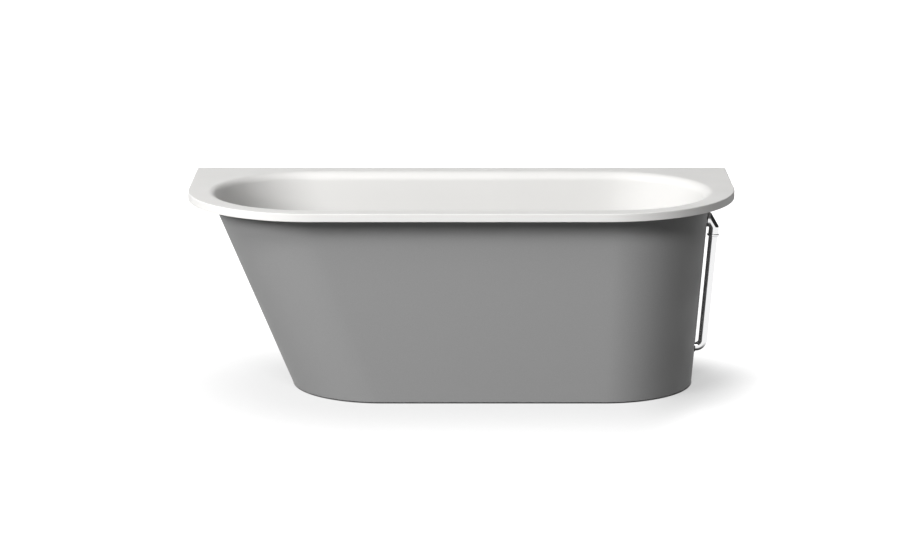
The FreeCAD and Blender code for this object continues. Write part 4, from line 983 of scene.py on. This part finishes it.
for node, profile, radius, count, offset, turn in HAND_NUTS:
    low, high = min(along for _, along, *_ in profile), max(along for _, along, *_ in profile)
    nut = turned(f"{node}_ribbed", profile, (0, 0, 0))
    grown(nut, ribs, Ribs=count, Reach=radius - RIB_DEPTH, Height=(0, 0, (low + high) / 2),
          Rib=(2 * RIB_DEPTH, RIB_WIDTH, (high - low) * RIB_SHARE), Place=tuple(DRAIN + Vector(offset)),
          Turn=turn, Material=plastic_finish)
    smoothed(nut)
    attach(nut, "bath")
    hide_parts(node)
for node in ("waste_body", "trap_bowl", "dip_tube", "outlet_pipe"):
    dressed(node, plastic_finish)

# The overflow inlet inside the basin: a chromed flange whose tube passes both walls, and a round cap
# that stands off it on a post, held by one socket screw. Flange and seals are the CAD solids.
SEAL_THICK = 0.0025
FLANGE_THICK = 0.003
CAP_STAND = 0.009
CAP_THICK = 0.005
HEAD_DEPTH = 0.0024
FLANGE_FRONT = OVERFLOW_SEAT - SEAL_THICK - FLANGE_THICK
CAP_BACK = FLANGE_FRONT - CAP_STAND
CAP_FRONT = CAP_BACK - CAP_THICK
HEAD_SEAT = CAP_FRONT + HEAD_DEPTH
SCREW_TIP = HEAD_SEAT + 0.016
CAP = ((0.00465, CAP_FRONT, 0.0004), (0.033, CAP_FRONT, 0.003), (0.033, CAP_BACK, 0.0008), (0.006, CAP_BACK),
       (0.006, FLANGE_FRONT), (0.00265, FLANGE_FRONT), (0.00265, HEAD_SEAT), (0.00465, HEAD_SEAT))
CAP_SCREW = ((0, CAP_FRONT), (0.0045, CAP_FRONT, 0.0005), (0.0045, HEAD_SEAT), (0.0025, HEAD_SEAT),
             (0.0025, SCREW_TIP, 0.0006), (0, SCREW_TIP))
SOCKET_CUT = ((0.0023, CAP_FRONT - 0.001), (0.0023, CAP_FRONT + 0.0014))

cap = turned("overflow_cap_chrome", CAP, OVERFLOW, OUTWARD, steps=96)
cap.data.materials.append(chrome_finish)
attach(cap, "bath")
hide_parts("overflow_cap")
cap_screw = turned("cap_screw_chrome", CAP_SCREW, OVERFLOW, OUTWARD, steps=40)
socket_cut = skinned("socket_cut", lathe_rings(SOCKET_CUT, OVERFLOW, OUTWARD, 6))
smoothed(cut_away(cap_screw, [socket_cut]))
cap_screw.data.materials.append(chrome_finish)
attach(cap_screw, "bath")
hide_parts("cap_screw")
dressed("overflow_flange", chrome_finish)
for node in ("overflow_seal", "elbow_seal", "pipe_grommet"):
    dressed(node, rubber_finish)

# The overflow elbow: a chromed casting clamped to the outside of the skirt, in three mitred lengths: a
# round boss, a slanting shoulder that narrows, and the socket that takes the pipe.
PIPE_OUT = 0.0245
MITRE_SUPPORT = 0.05
ELBOW_SHARP = math.radians(40)
ELBOW_STEPS = 72
ELBOW_RINGS = (
    ((0.0008, 0), (0, 0.0222), 0.0222), ((0.0016, 0), (0, 0.023), 0.023), ((0.0086, 0), (0, 0.023), 0.023),
    ((0.0094, 0), (0.0006, 0.0226), 0.0222), ((0.0094, -0.0002), (0.0006, 0.0226), 0.0178),
    ((0.0104, -0.0002), (0.0016, 0.0222), 0.0168),
    ((PIPE_OUT, -0.0215), (0.016, 0.0015), 0.016), ((PIPE_OUT, -0.0422), (0.016, 0), 0.016),
    ((PIPE_OUT, -0.043), (0.0152, 0), 0.0152))


def beside_skirt(out, up, across=0.0):
    """A point so far out of the skirt at the overflow, and so far up along it."""
    return OVERFLOW + OUTWARD * out + UPWARD * up + Vector((0, across, 0))


def elbow_ring(middle, outer, half):
    """A ring of the elbow: its middle, the way to its outer edge, and its half width."""
    ring = []
    for step in range(ELBOW_STEPS):
        along, across = math.cos(math.tau * step / ELBOW_STEPS), math.sin(math.tau * step / ELBOW_STEPS)
        ring.append(beside_skirt(middle[0] + outer[0] * along, middle[1] + outer[1] * along, half * across))
    return ring


corner_rings = [elbow_ring(*ring) for ring in ELBOW_RINGS]
elbow_rings = [corner_rings[0]]
for before, here, after in zip(corner_rings, corner_rings[1:], corner_rings[2:]):
    elbow_rings.append([point.lerp(near, MITRE_SUPPORT) for point, near in zip(here, before)])
    elbow_rings.append([point.lerp(near, MITRE_SUPPORT) for point, near in zip(here, after)])
elbow_rings.append(corner_rings[-1])
elbow = smoothed(skinned("overflow_elbow_chrome", elbow_rings), ELBOW_SHARP)
elbow.data.materials.append(chrome_finish)
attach(elbow, "bath")
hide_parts("overflow_elbow")

# The overflow pipe: 28 mm chromed tube, drawn round one bend, from the elbow's socket down beside the
# skirt and in to the waste, with a turned ring nut that presses its seal in the socket.
PIPE_START = -0.0213
PIPE_RADIUS = 0.014
PIPE_BORE = 0.0125
PIPE_BEND = 0.022
BEND_STEPS = 14
PIPE_END = 0.5243
RING_NUT = ((0.01415, -0.050), (0.019, -0.050, 0.0012), (0.019, -0.043, 0.0012), (0.01415, -0.043))

ring_nut = turned("overflow_ring_nut_chrome", RING_NUT, beside_skirt(PIPE_OUT, 0), UPWARD, steps=96)
ring_nut.data.materials.append(chrome_finish)
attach(ring_nut, "bath")
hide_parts("overflow_ring_nut")

pipe_top = beside_skirt(PIPE_OUT, PIPE_START)
corner = Vector((pipe_top.x - math.tan(FOOT_SLOPE) * (pipe_top.z - RUN_HEIGHT), 0, RUN_HEIGHT))
reach = PIPE_BEND * math.tan((math.pi / 2 - FOOT_SLOPE) / 2)
bend_start = corner + UPWARD * reach
bend_centre = bend_start - OUTWARD * PIPE_BEND
path = [(pipe_top, OUTWARD)]
for step in range(BEND_STEPS + 1):
    angle = FOOT_SLOPE + (math.pi / 2 - FOOT_SLOPE) * step / BEND_STEPS
    across = Vector((math.cos(angle), 0, -math.sin(angle)))
    path.append((bend_centre + across * PIPE_BEND, across))
path.append((Vector((PIPE_END, 0, RUN_HEIGHT)), Vector((0, 0, -1))))


def pipe_ring(place, across, radius, steps=48):
    """A ring of the pipe's wall, square to its run."""
    angles = [math.tau * step / steps for step in range(steps)]
    return [place + across * (radius * math.cos(angle)) + Vector((0, radius * math.sin(angle), 0))
            for angle in angles]


outside = [pipe_ring(place, across, PIPE_RADIUS) for place, across in path]
inside = [pipe_ring(place, across, PIPE_BORE) for place, across in path[::-1]]
pipe = smoothed(skinned("overflow_pipe_chrome", outside + inside + outside[:1], capped=False))
pipe.data.materials.append(chrome_finish)
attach(pipe, "bath")
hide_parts("overflow_pipe")
